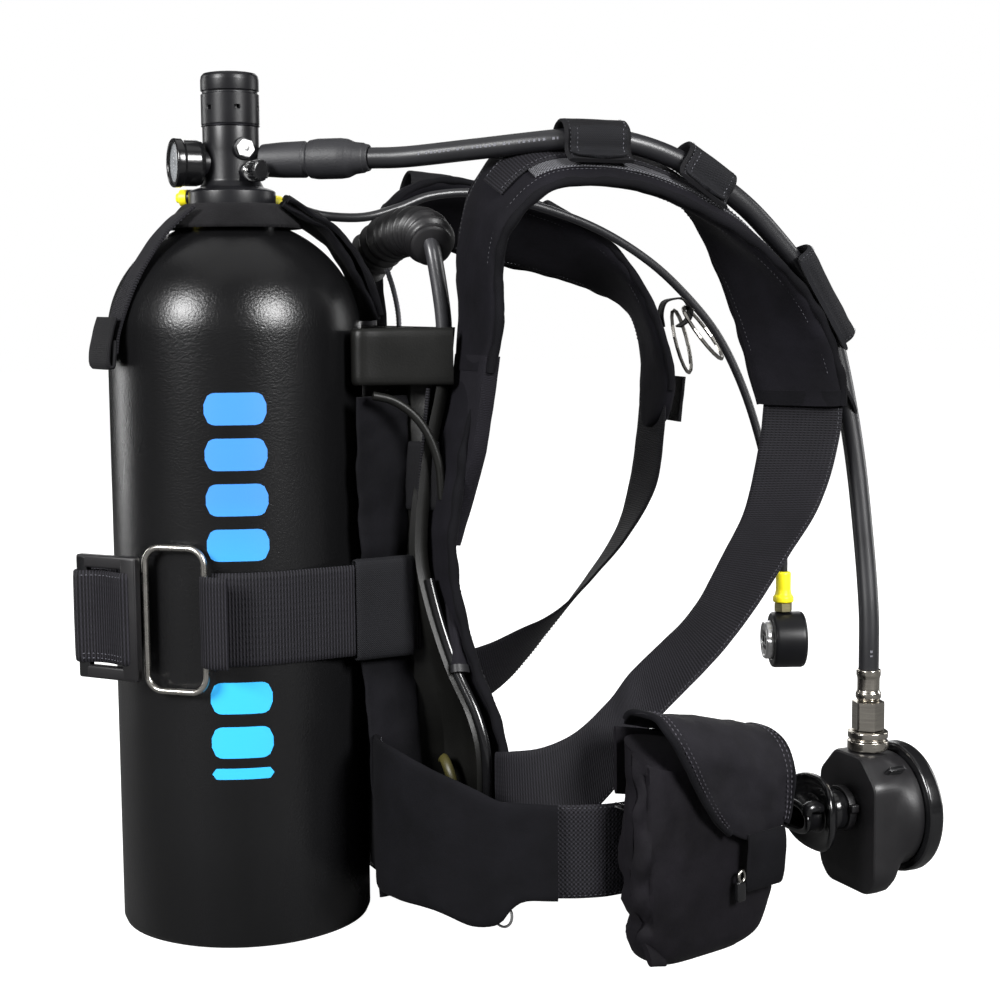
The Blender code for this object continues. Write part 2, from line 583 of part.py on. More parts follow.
def make_console():
    x, y, z = CONSOLE
    sleeve = [
        (0, 163), (4.9, 163), (4.9, 150), (5.6, 147), (6.7, 145.4), (6.7, 142.3), (0, 142.3),
    ]
    lathe("console_sleeve", sleeve, "yellow_plastic", (x, y, 0), steps=16)
    hexagon("console_nut", 11, z + CONSOLE_R + 0.4, 142, "brass", (x, y, 0))
    case = [
        (0, 5), (13.4, 5), (13.4, 8.2), (CONSOLE_R - 0.9, 8.2), (CONSOLE_R, 7.3), (CONSOLE_R, -13.1),
        (CONSOLE_R - 0.9, -14), (0, -14),
    ]
    lathe("console_case", case, "black_plastic", CONSOLE, CONSOLE_FACE, 24)
    lens = [(0, 13.6), (10.6, 13.6), (12.6, 12.6), (13.0, 11.4), (13.0, 6.4), (12.0, 6.4), (12.0, 11), (0, 11.4)]
    lathe("console_lens", lens, "nickel", CONSOLE, CONSOLE_FACE, 16)
    front = Vector(CONSOLE) + Vector(CONSOLE_FACE) * 8.6
    turn = Vector(CONSOLE_FACE).to_track_quat("X", "Z").to_matrix().to_4x4()
    needle = block("console_needle", (0.6, 1.3, 10), (front.x, front.y, front.z - 2.6), "black_metal", turn)
    pivot_at(needle, front)


def interpolate(stations, value):
    """Linear value of the later columns at a height given in the first column."""
    for low, high in zip(stations, stations[1:]):
        if value <= high[0]:
            t = (value - low[0]) / (high[0] - low[0])
            return [a + (b - a) * t for a, b in zip(low[1:], high[1:])]
    return list(stations[-1][1:])


def make_plate():
    rows = []
    for z, flange_x, half in PLATE_STATIONS:
        side = [
            (flange_x - 5, half), (flange_x - 0.5, half - 3), (flange_x, half - 8), (flange_x - 1, CROWN_Y + 10),
            (CROWN_X + 1.5, CROWN_Y), (CROWN_X, CROWN_Y - 14), (CROWN_X, 0),
        ]
        line = [(px, -py, z) for px, py in side] + [(px, py, z) for px, py in side[-2::-1]]
        rows.append(line)
    plate = grid("back_plate", rows, "black_plastic", PLATE_T)
    for side in (-1, 1):
        slot = block(f"band_slot_{side}", (26, 17, WEB_W + 6), (88, side * 62, BAND_Z), None, cutter=True)
        cut(plate, slot)

    wing = [(99.3, 77.2), (80, 70.6), (62, 65), (50.5, 62.2)]
    radius = TANK_R + 5.2
    arc = [math.radians(-49 + 9.8 * k) for k in range(11)]
    line = [(px, -py) for px, py in wing]
    line += [(radius * math.cos(angle), radius * math.sin(angle)) for angle in arc]
    line += wing[::-1]
    grid("tank_saddle", [[(px, py, z) for z in SADDLE_Z] for px, py in line], "black_plastic", PLATE_T)


def make_back_pad():
    rows = []
    for z, half in BACK_PAD_STATIONS:
        flange_x = interpolate(PLATE_STATIONS, max(z, PLATE_STATIONS[0][0]))[0]
        middle = flange_x + PLATE_T / 2 + 1.0 + PAD_T / 2
        rows.append([(middle, half * side, z) for side in (-1, -0.5, 0, 0.5, 1)])
    grid("back_pad", rows, "padding", PAD_T)


def make_handle():
    foot_x, foot_y, foot_z = HANDLE_FOOT
    core = [(foot_x, -foot_y, foot_z), (foot_x - 1.5, -foot_y + 2, foot_z + 19)]
    core += list(GRIP_PATH)
    core += [(foot_x - 3, foot_y - 5, foot_z + 18), (foot_x, foot_y, foot_z)]
    core = spline_points(core, 13)
    tube("carry_handle", core, HANDLE_R, "black_plastic")
    bore = as_mesh(tube("grip_bore", core, HANDLE_R + GAP, "black_plastic"))
    grip = as_mesh(tube("handle_grip", spline_points(GRIP_PATH, 12), GRIP_R, "black_rubber"))
    as_cutter(bore)
    cut(grip, bore)


def make_shoulder_straps():
    ribbon("shoulder_pad_right", PAD_RIGHT, "padding", 9, columns=3)
    ribbon("shoulder_pad_left", PAD_LEFT, "padding", 9, columns=3)
    ribbon("shoulder_webbing_right", WEB_RIGHT, "webbing", WEB_T, spacing=11)
    ribbon("shoulder_webbing_left", WEB_LEFT, "webbing", WEB_T, spacing=14)


def channel(name, centre, along, up, length, inner_r, wall, look):
    """An arch over a hose: a half sleeve of straight wall down to a strap's surface."""
    along = Vector(along).normalized()
    up = (Vector(up) - along * Vector(up).dot(along)).normalized()
    across = along.cross(up)
    rows = []
    outline = []
    for k in range(9):
        angle = math.pi * k / 8
        outline.append((math.cos(angle) * inner_r, math.sin(angle) * inner_r))
    outline = [(inner_r + 1.0, -inner_r * 0.55)] + outline + [(-inner_r - 1.0, -inner_r * 0.55)]
    for step in (-0.5, 0.5):
        spot = Vector(centre) + along * length * step
        rows.append([tuple(spot + across * a + up * b) for a, b in outline])
    return grid(name, rows, look, wall)


def make_keepers():
    channel("hose_keeper_rear", (165, -114.5, 432.3), (1, -0.08, 0.0), (0, -0.35, 0.94), 38, 9.4, 2.2, "webbing")
    channel("hose_keeper_front", (230, -119, 415), (0.84, -0.02, -0.54), (0.5, -0.35, 0.8), 34, 9.4, 2.2, "webbing")
    channel("hose_sleeve", (304.5, -118.3, 347), (0.52, -0.02, -0.85), (0.85, -0.1, 0.52), 56, 9.6, 2.4, "webbing")


def wire_ring(name, top, tilt, radius, wire):
    """A ring that hangs from a loop at top, leaning by tilt along the ring joint's own axis."""
    lean = Vector((0.9135, -0.4067, 0))
    down = Vector((0, 0, -1))
    long_axis = lean * math.sin(tilt) + down * math.cos(tilt)
    side = Vector((0.4067, 0.9135, 0)) + lean * 0.28
    side.normalize()
    centre = Vector(top) + long_axis * radius
    points = [centre + long_axis * radius * math.cos(math.tau * k / 18) + side * radius * math.sin(math.tau * k / 18)
              for k in range(18)]
    ring = as_mesh(tube(name, points, wire, "steel", cyclic=True, resolution=1))
    pivot_at(ring, top)


RING_TOPS = {"strap_ring_front": (334.0, 84.0, 342.0), "strap_ring_rear": (326.5, 84.5, 340.0)}


def make_left_fittings():
    wire_ring("strap_ring_front", RING_TOPS["strap_ring_front"], math.radians(36), 21.5, 1.3)
    wire_ring("strap_ring_rear", RING_TOPS["strap_ring_rear"], math.radians(14), 21.5, 1.3)
    block("strap_tab", (3, 26, 30), (327, 86, 281), "webbing", None, 1)


def make_neck_strap():
    cone = [(26.6, 398.4), (28.4, 398.2), (38.0, 389.2), (37.0, 387.6)]
    loop = lathe("neck_strap", cone, "webbing", steps=24, closed=True)
    heading = math.radians(-170)
    across = (-math.sin(heading), math.cos(heading), 0)
    tail = []
    for radius, z in ((40, 390.5), (50, 379.5), (59, 368), (66, 355), (71.2, 341), (73.6, 327)):
        tail.append(((radius * math.cos(heading), radius * math.sin(heading), z), across, 25))
    strap = ribbon("neck_strap_tail", tail, "webbing", WEB_T, 10)
    run = []
    heading = math.radians(-9)
    across = (math.sin(heading), -math.cos(heading), 0)
    for radius, z in ((32, 394.4), (42, 388), (53, 379.5), (62, 367), (69, 352), (74.6, 338)):
        run.append(((radius * math.cos(heading), radius * math.sin(heading), z), across, 34))
    link = ribbon("strap_run", run, "webbing", 3, 10)
    as_cutter(link)
    cut(loop, link, "UNION")
    turn = Matrix.Rotation(math.radians(10), 4, "Z")
    fold = block("tail_fold", (7, 25.6, 24), (-76.5, -13.5, 326), None, turn, 1, cutter=True)
    cut(strap, fold, "UNION")


def band_path():
    """Middle line of the cam band, from the ring's bar round the near side, across the plate and round the back."""
    slot_x, slot_y = SLOT
    reach = math.hypot(slot_x, slot_y)
    tangent = math.atan2(slot_y, slot_x) + math.acos(BAND_R / reach)
    start = math.radians(118.5)
    points = []
    for k in range(5):
        angle = -(start + (tangent - start) * k / 4)
        points.append((BAND_R * math.cos(angle), BAND_R * math.sin(angle)))
    points += [(slot_x, -slot_y), (slot_x + 2.6, -slot_y + 6), (slot_x + 2.8, 0), (slot_x + 2.6, slot_y - 6), (slot_x, slot_y)]
    finish = math.radians(180 + 8)
    for k in range(12):
        angle = tangent + (finish - tangent) * k / 11
        points.append((BAND_R * math.cos(angle), BAND_R * math.sin(angle)))
    return points


def make_cam_band():
    low, high = BAND_Z - WEB_W / 2, BAND_Z + WEB_W / 2
    rows = [[(px, py, low), (px, py, high)] for px, py in band_path()]
    grid("cam_band", rows, "webbing", WEB_T)

    near = Vector(RING_AXIS)
    far = Vector(RING_FAR)
    run = (far - near).normalized()
    width = (far - near).length
    half = RING_H / 2
    corner = 9.0
    outline = []
    for cx, cz, begin in ((width - corner, half - corner, 0), (corner, half - corner, 90), (corner, corner - half, 180),
                          (width - corner, corner - half, 270)):
        for k in range(5):
            angle = math.radians(begin + 22.5 * k)
            outline.append((cx + corner * math.cos(angle), cz + corner * math.sin(angle)))
    points = [(near.x + run.x * a, near.y + run.y * a, BAND_Z + b) for a, b in outline]
    ring = as_mesh(tube("cam_ring", points, RING_WIRE, "steel", cyclic=True, resolution=1))
    pivot_at(ring, (*RING_AXIS, BAND_Z))

    start = Vector(BUCKLE_NEAR)
    end = Vector(BUCKLE_PIVOT)
    run = (end - start).normalized()
    length = (end - start).length
    middle = (start + end) / 2
    turn = Matrix.Rotation(math.atan2(run.y, run.x), 4, "Z")
    buckle = block("cam_buckle", (length, BUCKLE_T, BUCKLE_H), (middle.x, middle.y, BAND_Z), "black_plastic", turn, 1.5)
    window = block("buckle_window", (length - 17, 3 * BUCKLE_T, BUCKLE_H - 14),
                   (middle.x + run.x * 1.5, middle.y + run.y * 1.5, BAND_Z), None, turn, cutter=True)
    cut(buckle, window)

    slot_x, slot_y = SLOT
    reach = math.hypot(slot_x, slot_y)
    tangent = -(math.atan2(slot_y, slot_x) + math.acos(BAND_R / reach))
    leave = Vector((BAND_R * math.cos(tangent), BAND_R * math.sin(tangent), 0))
    run = Vector((slot_x, -slot_y, 0)) - leave
    middle = leave + run * 0.72
    turn = Matrix.Rotation(math.atan2(run.y, run.x), 4, "Z")
    sleeve = block("band_sleeve", (36, 7.4, WEB_W + 7), (middle.x, middle.y, BAND_Z), "black_rubber", turn, 1.5)
    opening = block("sleeve_opening", (50, 3.2, WEB_W + 1.6), (middle.x, middle.y, BAND_Z), None, turn, cutter=True)
    cut(sleeve, opening)


def make_waist_belt():
    ribbon("waist_belt_right", BELT_RIGHT, "webbing", WEB_T, 14)
    ribbon("waist_belt_left", BELT_LEFT, "webbing", WEB_T, 14)
    lean = Matrix.Rotation(math.radians(15), 4, "Z")
    block("buckle_socket", (24, 9, 52), (233.5, -141.3, 54.5), "black_plastic", lean, 2)
    lean = Matrix.Rotation(math.radians(-20), 4, "Z")
    block("buckle_plug", (20, 8, 50), (184.5, 141.3, 26.8), "black_plastic", lean, 2)


def on_pouch(along, depth, z):
    """A point of the pouch's own frame in the object's frame."""
    c, s = math.cos(POUCH_TURN), math.sin(POUCH_TURN)
    return (POUCH_CORNER[0] + along * c + depth * s, POUCH_CORNER[1] + along * s - depth * c, z)


def sloped(along, z):
    """Height on the pouch's upper part, which falls towards its front end."""
    return z - FLAP_SLOPE * min(1.0, max(0.0, (z - 60) / 45)) * (along - 52)


def rounded(middle, half_length, depth, half_depth, z, count=16):
    """A closed superellipse section of the pouch."""
    ring = []
    rise = POUCH_RISE if z > 100 else 0.0
    for k in range(count):
        angle = -math.tau * k / count
        c, s = math.cos(angle), math.sin(angle)
        along = middle + half_length * math.copysign(abs(c) ** 0.45, c)
        out = half_depth * math.copysign(abs(s) ** 0.6, s)
        ring.append(on_pouch(along, depth + out, sloped(along, z) - rise * out))
    return ring


def make_pouch():
    rings = [rounded(*section, z) for z, *section in POUCH]
    count = len(rings[0])
    points = [Vector(point) * MM for ring in rings for point in ring]
    faces = [tuple(range(count - 1, -1, -1))]
    for i in range(len(rings) - 1):
        for j in range(count):
            a, b = i * count, (i + 1) * count
            faces.append((a + j, a + (j + 1) % count, b + (j + 1) % count, b + j))
    mesh = bpy.data.meshes.new("pouch")
    mesh.from_pydata(points, [], faces)
    pouch = place("pouch", mesh, "padding")
    shell = pouch.modifiers.new("shell", "SOLIDIFY")
    shell.thickness = POUCH_WALL * MM
    shell.offset = -1.0
    shell.use_even_offset = True

    rows = []
    for depth, z, rear, front in FLAP:
        line = [rear + (front - rear) * k / 3 for k in range(4)]
        rows.append([on_pouch(along, depth, sloped(along, z)) for along in line])
    flap = grid("pouch_flap", rows, "padding", 2.5)
    graph = bpy.context.evaluated_depsgraph_get()
    made = bpy.data.meshes.new_from_object(flap.evaluated_get(graph))
    flap.modifiers.clear()
    flap.data = made
    pivot_at(flap, on_pouch(52, FLAP[0][0], FLAP[0][1]))


def main():
    for thing in list(bpy.data.objects):
        bpy.data.objects.remove(thing)
    for title in (COLLECTION, "cutters"):
        group = bpy.data.collections.get(title) or bpy.data.collections.new(title)
        if group.name not in bpy.context.scene.collection.children:
            bpy.context.scene.collection.children.link(group)
    make_cylinder()
    make_first_stage()
    make_cylinder_gauge()
    make_ports()
    make_hoses()
    make_regulator()
    make_console()
    make_plate()
    make_back_pad()
    make_handle()
    make_shoulder_straps()
    make_keepers()
    make_left_fittings()
    make_neck_strap()
    make_cam_band()
    make_waist_belt()
    make_pouch()


main()
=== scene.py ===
"""Looks of the breathing-air pack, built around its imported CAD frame. Lengths below are in millimetres."""
import math

import bmesh
import bpy
from mathutils import Matrix, Vector, noise


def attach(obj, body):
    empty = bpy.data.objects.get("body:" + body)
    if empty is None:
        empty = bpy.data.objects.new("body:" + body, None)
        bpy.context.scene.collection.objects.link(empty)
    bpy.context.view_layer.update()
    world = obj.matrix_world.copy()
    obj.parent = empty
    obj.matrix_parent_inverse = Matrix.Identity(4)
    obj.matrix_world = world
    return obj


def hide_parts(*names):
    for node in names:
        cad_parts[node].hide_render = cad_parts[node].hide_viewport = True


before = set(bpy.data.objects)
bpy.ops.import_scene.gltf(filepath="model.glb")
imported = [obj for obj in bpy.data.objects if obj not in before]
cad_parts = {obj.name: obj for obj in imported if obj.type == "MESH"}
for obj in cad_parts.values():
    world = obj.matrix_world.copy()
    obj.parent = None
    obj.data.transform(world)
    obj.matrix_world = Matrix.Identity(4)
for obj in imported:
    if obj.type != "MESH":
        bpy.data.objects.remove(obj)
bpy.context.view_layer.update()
scene = bpy.context.scene
MM = 0.001

# ---------------------------------------------------------------- camera
camera_data = bpy.data.cameras.new("camera")
camera_data.sensor_width = 36
camera_data.lens = 36 * 1893 / 1000
camera_data.clip_start = 0.05
camera = bpy.data.objects.new("camera", camera_data)
scene.collection.objects.link(camera)
look = Vector((0.4045, 0.9085, -0.1045)).normalized()
turned = look.to_track_quat("-Z", "Y").to_matrix().to_4x4() @ Matrix.Rotation(math.radians(-0.5), 4, "Z")
camera.matrix_world = Matrix.Translation((-0.297, -1.028, 0.347)) @ turned
scene.camera = camera
scene.view_settings.view_transform = "Standard"

# ---------------------------------------------------------------- routes and stations shared with the CAD model
LP_R = 5.75
HP_R = 2.75
LP_Z = 425.0
HP_Z = 404.6
LP_DIR = (0.79, -0.61, 0.0)
HP_DIR = (0.8, 0.6, 0.0)
FILL_DIR = (0.3, -0.954, 0.0)
SPARE_DIR = (-0.8, 0.6, 0.0)
PLUG_DIR = (0.17, -0.985, 0.0)
LP_ROUTE = (
    (63.5, -49.0, 424.8), (80, -61, 425), (110, -84, 428), (150, -113, 432), (176, -116, 432.5), (205, -118,
            426),
    (232, -119, 414), (256, -119, 399), (277, -118, 381), (296, -118, 360), (312, -119, 333), (321, -121,
            300),
    (327, -126, 255), (329, -133, 205), (328.6, -138.5, 170), (328, -140, 150), (328, -140, 136.4),
)
HP_ROUTE = (
    (35.6, 26.7, 404.6), (42, 31.5, 404.2), (53, 39, 401), (72, 50, 398), (98, 57, 398), (120, 59, 403.5),
    (143, 60, 411.5), (175, 60, 413.5), (215, 60, 406), (255, 60, 393), (290, 61, 375), (318, 62, 354),
    (345, 61, 325), (364, 59, 290), (378, 57, 249), (388, 56, 205), (393.8, 55, 181), (395, 55, 172), (395,
            55, 163.5),
)
PAD_RIGHT = (
    ((108.5, -85, 309.5), (0, -1, 0), 44), ((111, -88, 336), (0, -1, 0), 50), ((110, -90, 366), (0, -1,
            -0.08), 51),
    ((114, -95, 394), (0, -0.95, -0.3), 55), ((132, -99, 416.5), (0, -0.91, -0.42), 59),
    ((155, -103, 422.5), (0, -0.89, -0.45), 60), ((190, -105, 419), (0.05, -0.89, -0.45), 60),
    ((224, -108, 405), (0.15, -0.88, -0.45), 60), ((252, -110, 384), (0.28, -0.88, -0.38), 59),
    ((273, -111, 357), (0.4, -0.88, -0.22), 58), ((289, -111, 326), (0.47, -0.87, -0.05), 57),
    ((297, -112, 300), (0.5, -0.86, 0), 56), ((299, -112.5, 287), (0.5, -0.86, 0), 52),
)
WEB_RIGHT = (
    ((299.5, -113, 284), (0.5, -0.86, 0), 50), ((295, -115, 262), (0.5, -0.86, 0.03), 50),
    ((283, -119, 231), (0.42, -0.9, 0.08), 50), ((262, -125, 205), (0.24, -0.96, 0.04), 50),
    ((240, -131, 180), (0.06, -0.98, -0.06), 50), ((222, -133, 162), (-0.08, -0.93, -0.24), 48),
    ((204, -130, 145), (-0.18, -0.82, -0.46), 45), ((185, -127, 127), (-0.18, -0.66, -0.7), 42),
    ((164, -139, 110), (-0.05, -0.42, -0.9), 44), ((142, -142.5, 95), (0, -0.25, -0.97), 46),
    ((122, -142, 87), (0, -0.15, -0.99), 50), ((108, -130, 84), (0, -0.05, -1), 50),
    ((104.5, -118.5, 83), (0, 0, -1), 48),
)
PAD_LEFT = (
    ((108.5, 85, 309.5), (0, 1, 0), 44), ((111, 88, 336), (0, 1, 0), 50), ((110, 90, 362), (0, 1, -0.08), 51),
    ((115, 93, 387), (0, 0.93, -0.35), 56), ((135, 94, 401), (0, 0.84, -0.54), 59),
    ((165, 93, 403), (0, 0.78, -0.62), 60),
    ((208, 91, 392), (0.05, 0.75, -0.66), 58), ((245, 90, 382), (0.12, 0.77, -0.62), 56),
    ((278, 90, 367), (0.2, 0.85, -0.48), 54), ((302, 90, 346), (0.3, 0.93, -0.2), 52),
    ((314, 90, 318), (0.2, 0.98, 0), 50), ((317, 90, 289), (0.12, 0.99, 0), 50), ((313, 91, 262), (0.1,
            0.99, 0.05), 46),
)
WEB_LEFT = (
    ((312.5, 91.5, 259), (0.1, 0.99, 0.04), 46), ((307, 92, 225), (0.15, 0.98, 0.02), 50),
    ((294, 95, 193), (0.28, 0.95, -0.08), 50), ((269, 98, 161), (0.3, 0.92, -0.22), 50),
    ((242, 100, 133), (0.2, 0.85, -0.48), 50), ((214, 101, 113), (0.08, 0.6, -0.8), 50),
    ((184, 103, 99), (0, 0.4, -0.92), 50), ((150, 108, 93), (0, 0.2, -0.98), 50),
    ((126, 118, 93), (0, 0.05, -1), 50), ((104.5, 119.5, 93), (0, 0, -1), 48),
)
BELT_RIGHT = (
    ((54, -103, 78), (0, 0, -1), 50), ((66, -126, 68), (0, 0, -1), 50), ((91, -150, 64), (0, 0, -1), 50),
    ((119, -163, 62), (0, 0, -1), 50), ((147, -165, 60), (0, 0, -1), 50), ((178, -157, 58), (0, 0, -1), 50),
    ((203, -149.5, 56), (0, 0, -1), 50), ((220, -145, 55), (0, 0, -1), 50),
)
BELT_LEFT = (
    ((60, 107, 74), (0, 0, -1), 50), ((72, 128, 60), (0, 0, -1), 50), ((94, 146, 40), (0, 0.1, -1), 50),
    ((122, 156, 30), (0, 0.15, -1), 50), ((150, 154, 27.5), (0, 0.1, -1), 50), ((172, 146, 27), (0, 0, -1),
            50),
)
PLATE_STATIONS = (
    (14, 100, 70), (34, 103, 96), (62, 104, 107), (100, 104, 111), (124, 101, 106), (150, 94, 92), (185, 87,
            80),
    (215, 84.5, 74), (260, 90, 72), (300, 99, 72), (333, 104, 70),
)
BACK_PAD_STATIONS = (
    (10, 78), (32, 100), (62, 109), (100, 112), (124, 108), (150, 98), (185, 92), (215, 90), (260,
            92), (290, 94),
    (306, 93),
)
GRIP_PATH = (
    (97.5, -53, 377), (100, -40, 383), (101.5, -23, 386.5), (101.5, -4, 387), (100, 14, 385), (97.5, 31, 379),
    (93.5, 45, 370),
)
TANK_R = 70.0
SHOULDER_Z = 330.0
DOME_H = 64.0
GAUGE_Z = 423.6
BAND_Z = 180.5
BAND_R = 71.4
SLOT = (82.5, 62.0)
REG = (328.0, -140.0)
REG_Z = 54.0
REG_RIM_X = 344.7
MOUTH_Z = 57.0
CONSOLE = (395.0, 55.0, 116.5)
CONSOLE_FACE = (-0.93, 0.367, 0.0)


# ---------------------------------------------------------------- materials
class Nodes:
    """A small builder for one procedural material."""

    def __init__(self, name, colour, roughness, metallic=0.0, **sockets):
        self.material = bpy.data.materials.new(name)
        self.material.use_nodes = True
        self.tree = self.material.node_tree
        self.shader = self.tree.nodes["Principled BSDF"]
        self.shader.inputs["Base Color"].default_value = (*colour, 1)
        self.shader.inputs["Roughness"].default_value = roughness
        self.shader.inputs["Metallic"].default_value = metallic
        for label, value in sockets.items():
            self.shader.inputs[label.replace("_", " ")].default_value = value
        self.colour = colour

    def add(self, kind, **values):
        node = self.tree.nodes.new(kind)
        for label, value in values.items():
            setattr(node, label, value)
        return node

    def link(self, source, target):
        self.tree.links.new(source, target)

    def math(self, operation, a, b=None):
        node = self.add("ShaderNodeMath", operation=operation)
        for socket, value in zip(node.inputs, (a, b)):
            if value is None:
                continue
            if isinstance(value, (int, float)):
                socket.default_value = value
            else:
                self.link(value, socket)
        return node.outputs[0]

    def place(self, uv=None):
        """A coordinate: a named UV map in metres, or the object's own place in metres."""
        if uv:
            return self.add("ShaderNodeUVMap", uv_map=uv).outputs[0]
        return self.add("ShaderNodeTexCoord").outputs["Object"]

    def noise(self, scale, detail=3.0, stretch=None, uv=None, roughness=0.55):
        node = self.add("ShaderNodeTexNoise")
        node.inputs["Scale"].default_value = scale
        node.inputs["Detail"].default_value = detail
        node.inputs["Roughness"].default_value = roughness
        spot = self.place(uv)
        if stretch:
            mapping = self.add("ShaderNodeMapping")
            mapping.inputs["Scale"].default_value = stretch
            self.link(spot, mapping.inputs["Vector"])
            spot = mapping.outputs[0]
        self.link(spot, node.inputs["Vector"])
        return node.outputs[0]

    def tint(self, value, low, high):
        """Base colour runs from low to high along a 0..1 value."""
        ramp = self.add("ShaderNodeValToRGB")
        ramp.color_ramp.elements[0].color = (*low, 1)
        ramp.color_ramp.elements[1].color = (*high, 1)
        ramp.color_ramp.elements[0].position = 0.3
        ramp.color_ramp.elements[1].position = 0.75
        self.link(value, ramp.inputs[0])
        self.link(ramp.outputs[0], self.shader.inputs["Base Color"])

    def rough(self, value, low, high):
        spread = self.math("MULTIPLY_ADD", value, high - low)
        spread.node.inputs[2].default_value = low
        self.link(spread, self.shader.inputs["Roughness"])

    def bump(self, height, distance, strength=1.0, after=None):
        node = self.add("ShaderNodeBump")
        node.inputs["Strength"].default_value = strength
        node.inputs["Distance"].default_value = distance
        self.link(height, node.inputs["Height"])
        if after is not None:
            self.link(after, node.inputs["Normal"])
        self.link(node.outputs[0], self.shader.inputs["Normal"])
        return node.outputs[0]

    def weave(self, along, across, mix):
        """A 0..1 woven height from the strap's own UV: yarn pitches in metres."""
        split = self.add("ShaderNodeSeparateXYZ")
        self.link(self.place("weave"), split.inputs[0])
        x = self.math("SINE", self.math("MULTIPLY", split.outputs[0], math.tau / along))
        y = self.math("SINE", self.math("MULTIPLY", split.outputs[1], math.tau / across))
        cross = self.math("MULTIPLY", x, y)
        ribs = self.math("MULTIPLY", x, 1 - mix)
        both = self.math("ADD", self.math("MULTIPLY", cross, mix), ribs)
        half = self.math("MULTIPLY_ADD", both, 0.5)
        half.node.inputs[2].default_value = 0.5
        return half


def cloth(name, colour, grain=2600, bump=0.00025, light=1.7, roughness=0.85, sheen=0.12):
    """Woven or brushed cloth with fibre noise and soft blotches."""
    made = Nodes(name, colour, roughness, Sheen_Weight=sheen * SHEEN_SHARE, Sheen_Roughness=0.45,
                 Specular_IOR_Level=0.1)
    blotch = made.noise(38, 4)
    made.tint(blotch, [c * 0.75 for c in colour], [c * light for c in colour])
    coarse = made.bump(made.noise(160, 3), 0.0009, 0.35)
    made.bump(made.noise(grain, 2), bump, 0.8, coarse)
    return made.material


def webbing(name, colour, along, across, mix, bump=0.0004, light=2.2, roughness=0.72, sheen=0.1):
    made = Nodes(name, colour, roughness, Sheen_Weight=sheen * SHEEN_SHARE, Sheen_Roughness=0.4,
                 Specular_IOR_Level=0.14)
    height = made.weave(along * MM, across * MM, mix)
    worn = made.math("MULTIPLY_ADD", made.noise(45, 3), 0.5)
    worn.node.inputs[2].default_value = 0.2
    # the tint follows the weave's height: painted shade in the yarns' low points and a painted highlight on their
    # crests, mixed with random wear
    made.tint(made.math("MULTIPLY", height, made.math("ADD", worn, 0.55)), [c * 0.45 for c in colour],
              [c * light for c in colour])
    fuzz = made.bump(made.noise(3500, 1), 0.0001, 0.5)
    made.bump(height, bump, 0.9, fuzz)
    return made.material


def plastic(name, colour, roughness=0.42, grain=0.00006, scale=1400, coat=0.0, specular=0.5):
    made = Nodes(name, colour, roughness, Coat_Weight=coat, Coat_Roughness=0.2, Specular_IOR_Level=specular)
    worn = made.noise(30, 4)
    made.tint(worn, [c * 0.8 for c in colour], [c * 1.35 for c in colour])
    made.rough(worn, roughness - 0.07, roughness + 0.1)
    made.bump(made.noise(scale, 2), grain, 0.7)
    return made.material


def metal(name, colour, roughness=0.25, brushed=True):
    made = Nodes(name, colour, roughness, 1.0)
    lines = made.noise(60, 3, (1, 1, 22) if brushed else None)
    made.tint(lines, [c * 0.78 for c in colour], [min(1, c * 1.12) for c in colour])
    made.rough(made.noise(90, 3), roughness - 0.06, roughness + 0.12)
    made.bump(made.noise(900, 2, (1, 1, 12) if brushed else None), 0.00003, 0.5)
    return made.material


def tank_paint():
    """Matt black coating with a fine orange-peel and faint vertical handling marks."""
    made = Nodes("tank_paint", (0.003, 0.003, 0.0034), 0.3, Specular_IOR_Level=0.32)
    wear = made.noise(14, 5, (1, 1, 0.25))
    made.tint(wear, (0.0026, 0.0026, 0.0028), (0.0055, 0.0055, 0.006))
    made.rough(wear, 0.23, 0.31)
    peel = made.bump(made.noise(760, 2, roughness=0.5), 0.00022, 0.6)
    made.bump(made.noise(1700, 2), 0.00009, 0.7, peel)
    return made.material


def blue_print():
    """Printed blue that lightens towards the cylinder's foot."""
    made = Nodes("blue_print", (0.06, 0.27, 0.68), 0.42)
    split = made.add("ShaderNodeSeparateXYZ")
    made.link(made.place(), split.inputs[0])
    ramp = made.add("ShaderNodeMapRange")
    ramp.inputs["From Min"].default_value = 0.08
    ramp.inputs["From Max"].default_value = 0.30
    made.link(split.outputs[2], ramp.inputs["Value"])
    made.tint(ramp.outputs[0], (0.025, 0.36, 0.74), (0.035, 0.19, 0.56))
    made.bump(made.noise(900, 2), 0.00006, 0.6)
    return made.material


# light and finish: the floor glows for the camera only, so that it reads white without lighting the blacks
FLOOR_GLOW = 1.0
FLOOR_BOUNCE = (0.12, 0.12, 0.12)
FLOOR_SEEN = (0.35, 0.35, 0.35)
ROOM_GLOW = 0.03
KEY_SIZE = 0.75
KEY_POWER = 88
SHEEN_SHARE = 0.12


def window_glass():
    """A thin smoky window, mostly clear, with faint polish marks."""
    made = Nodes("clear_window", (0.5, 0.52, 0.54), 0.05, Alpha=0.32, Specular_IOR_Level=0.5)
    marks = made.noise(70, 3)
    made.tint(marks, (0.42, 0.44, 0.46), (0.6, 0.62, 0.64))
    made.rough(marks, 0.03, 0.12)
    return made.material


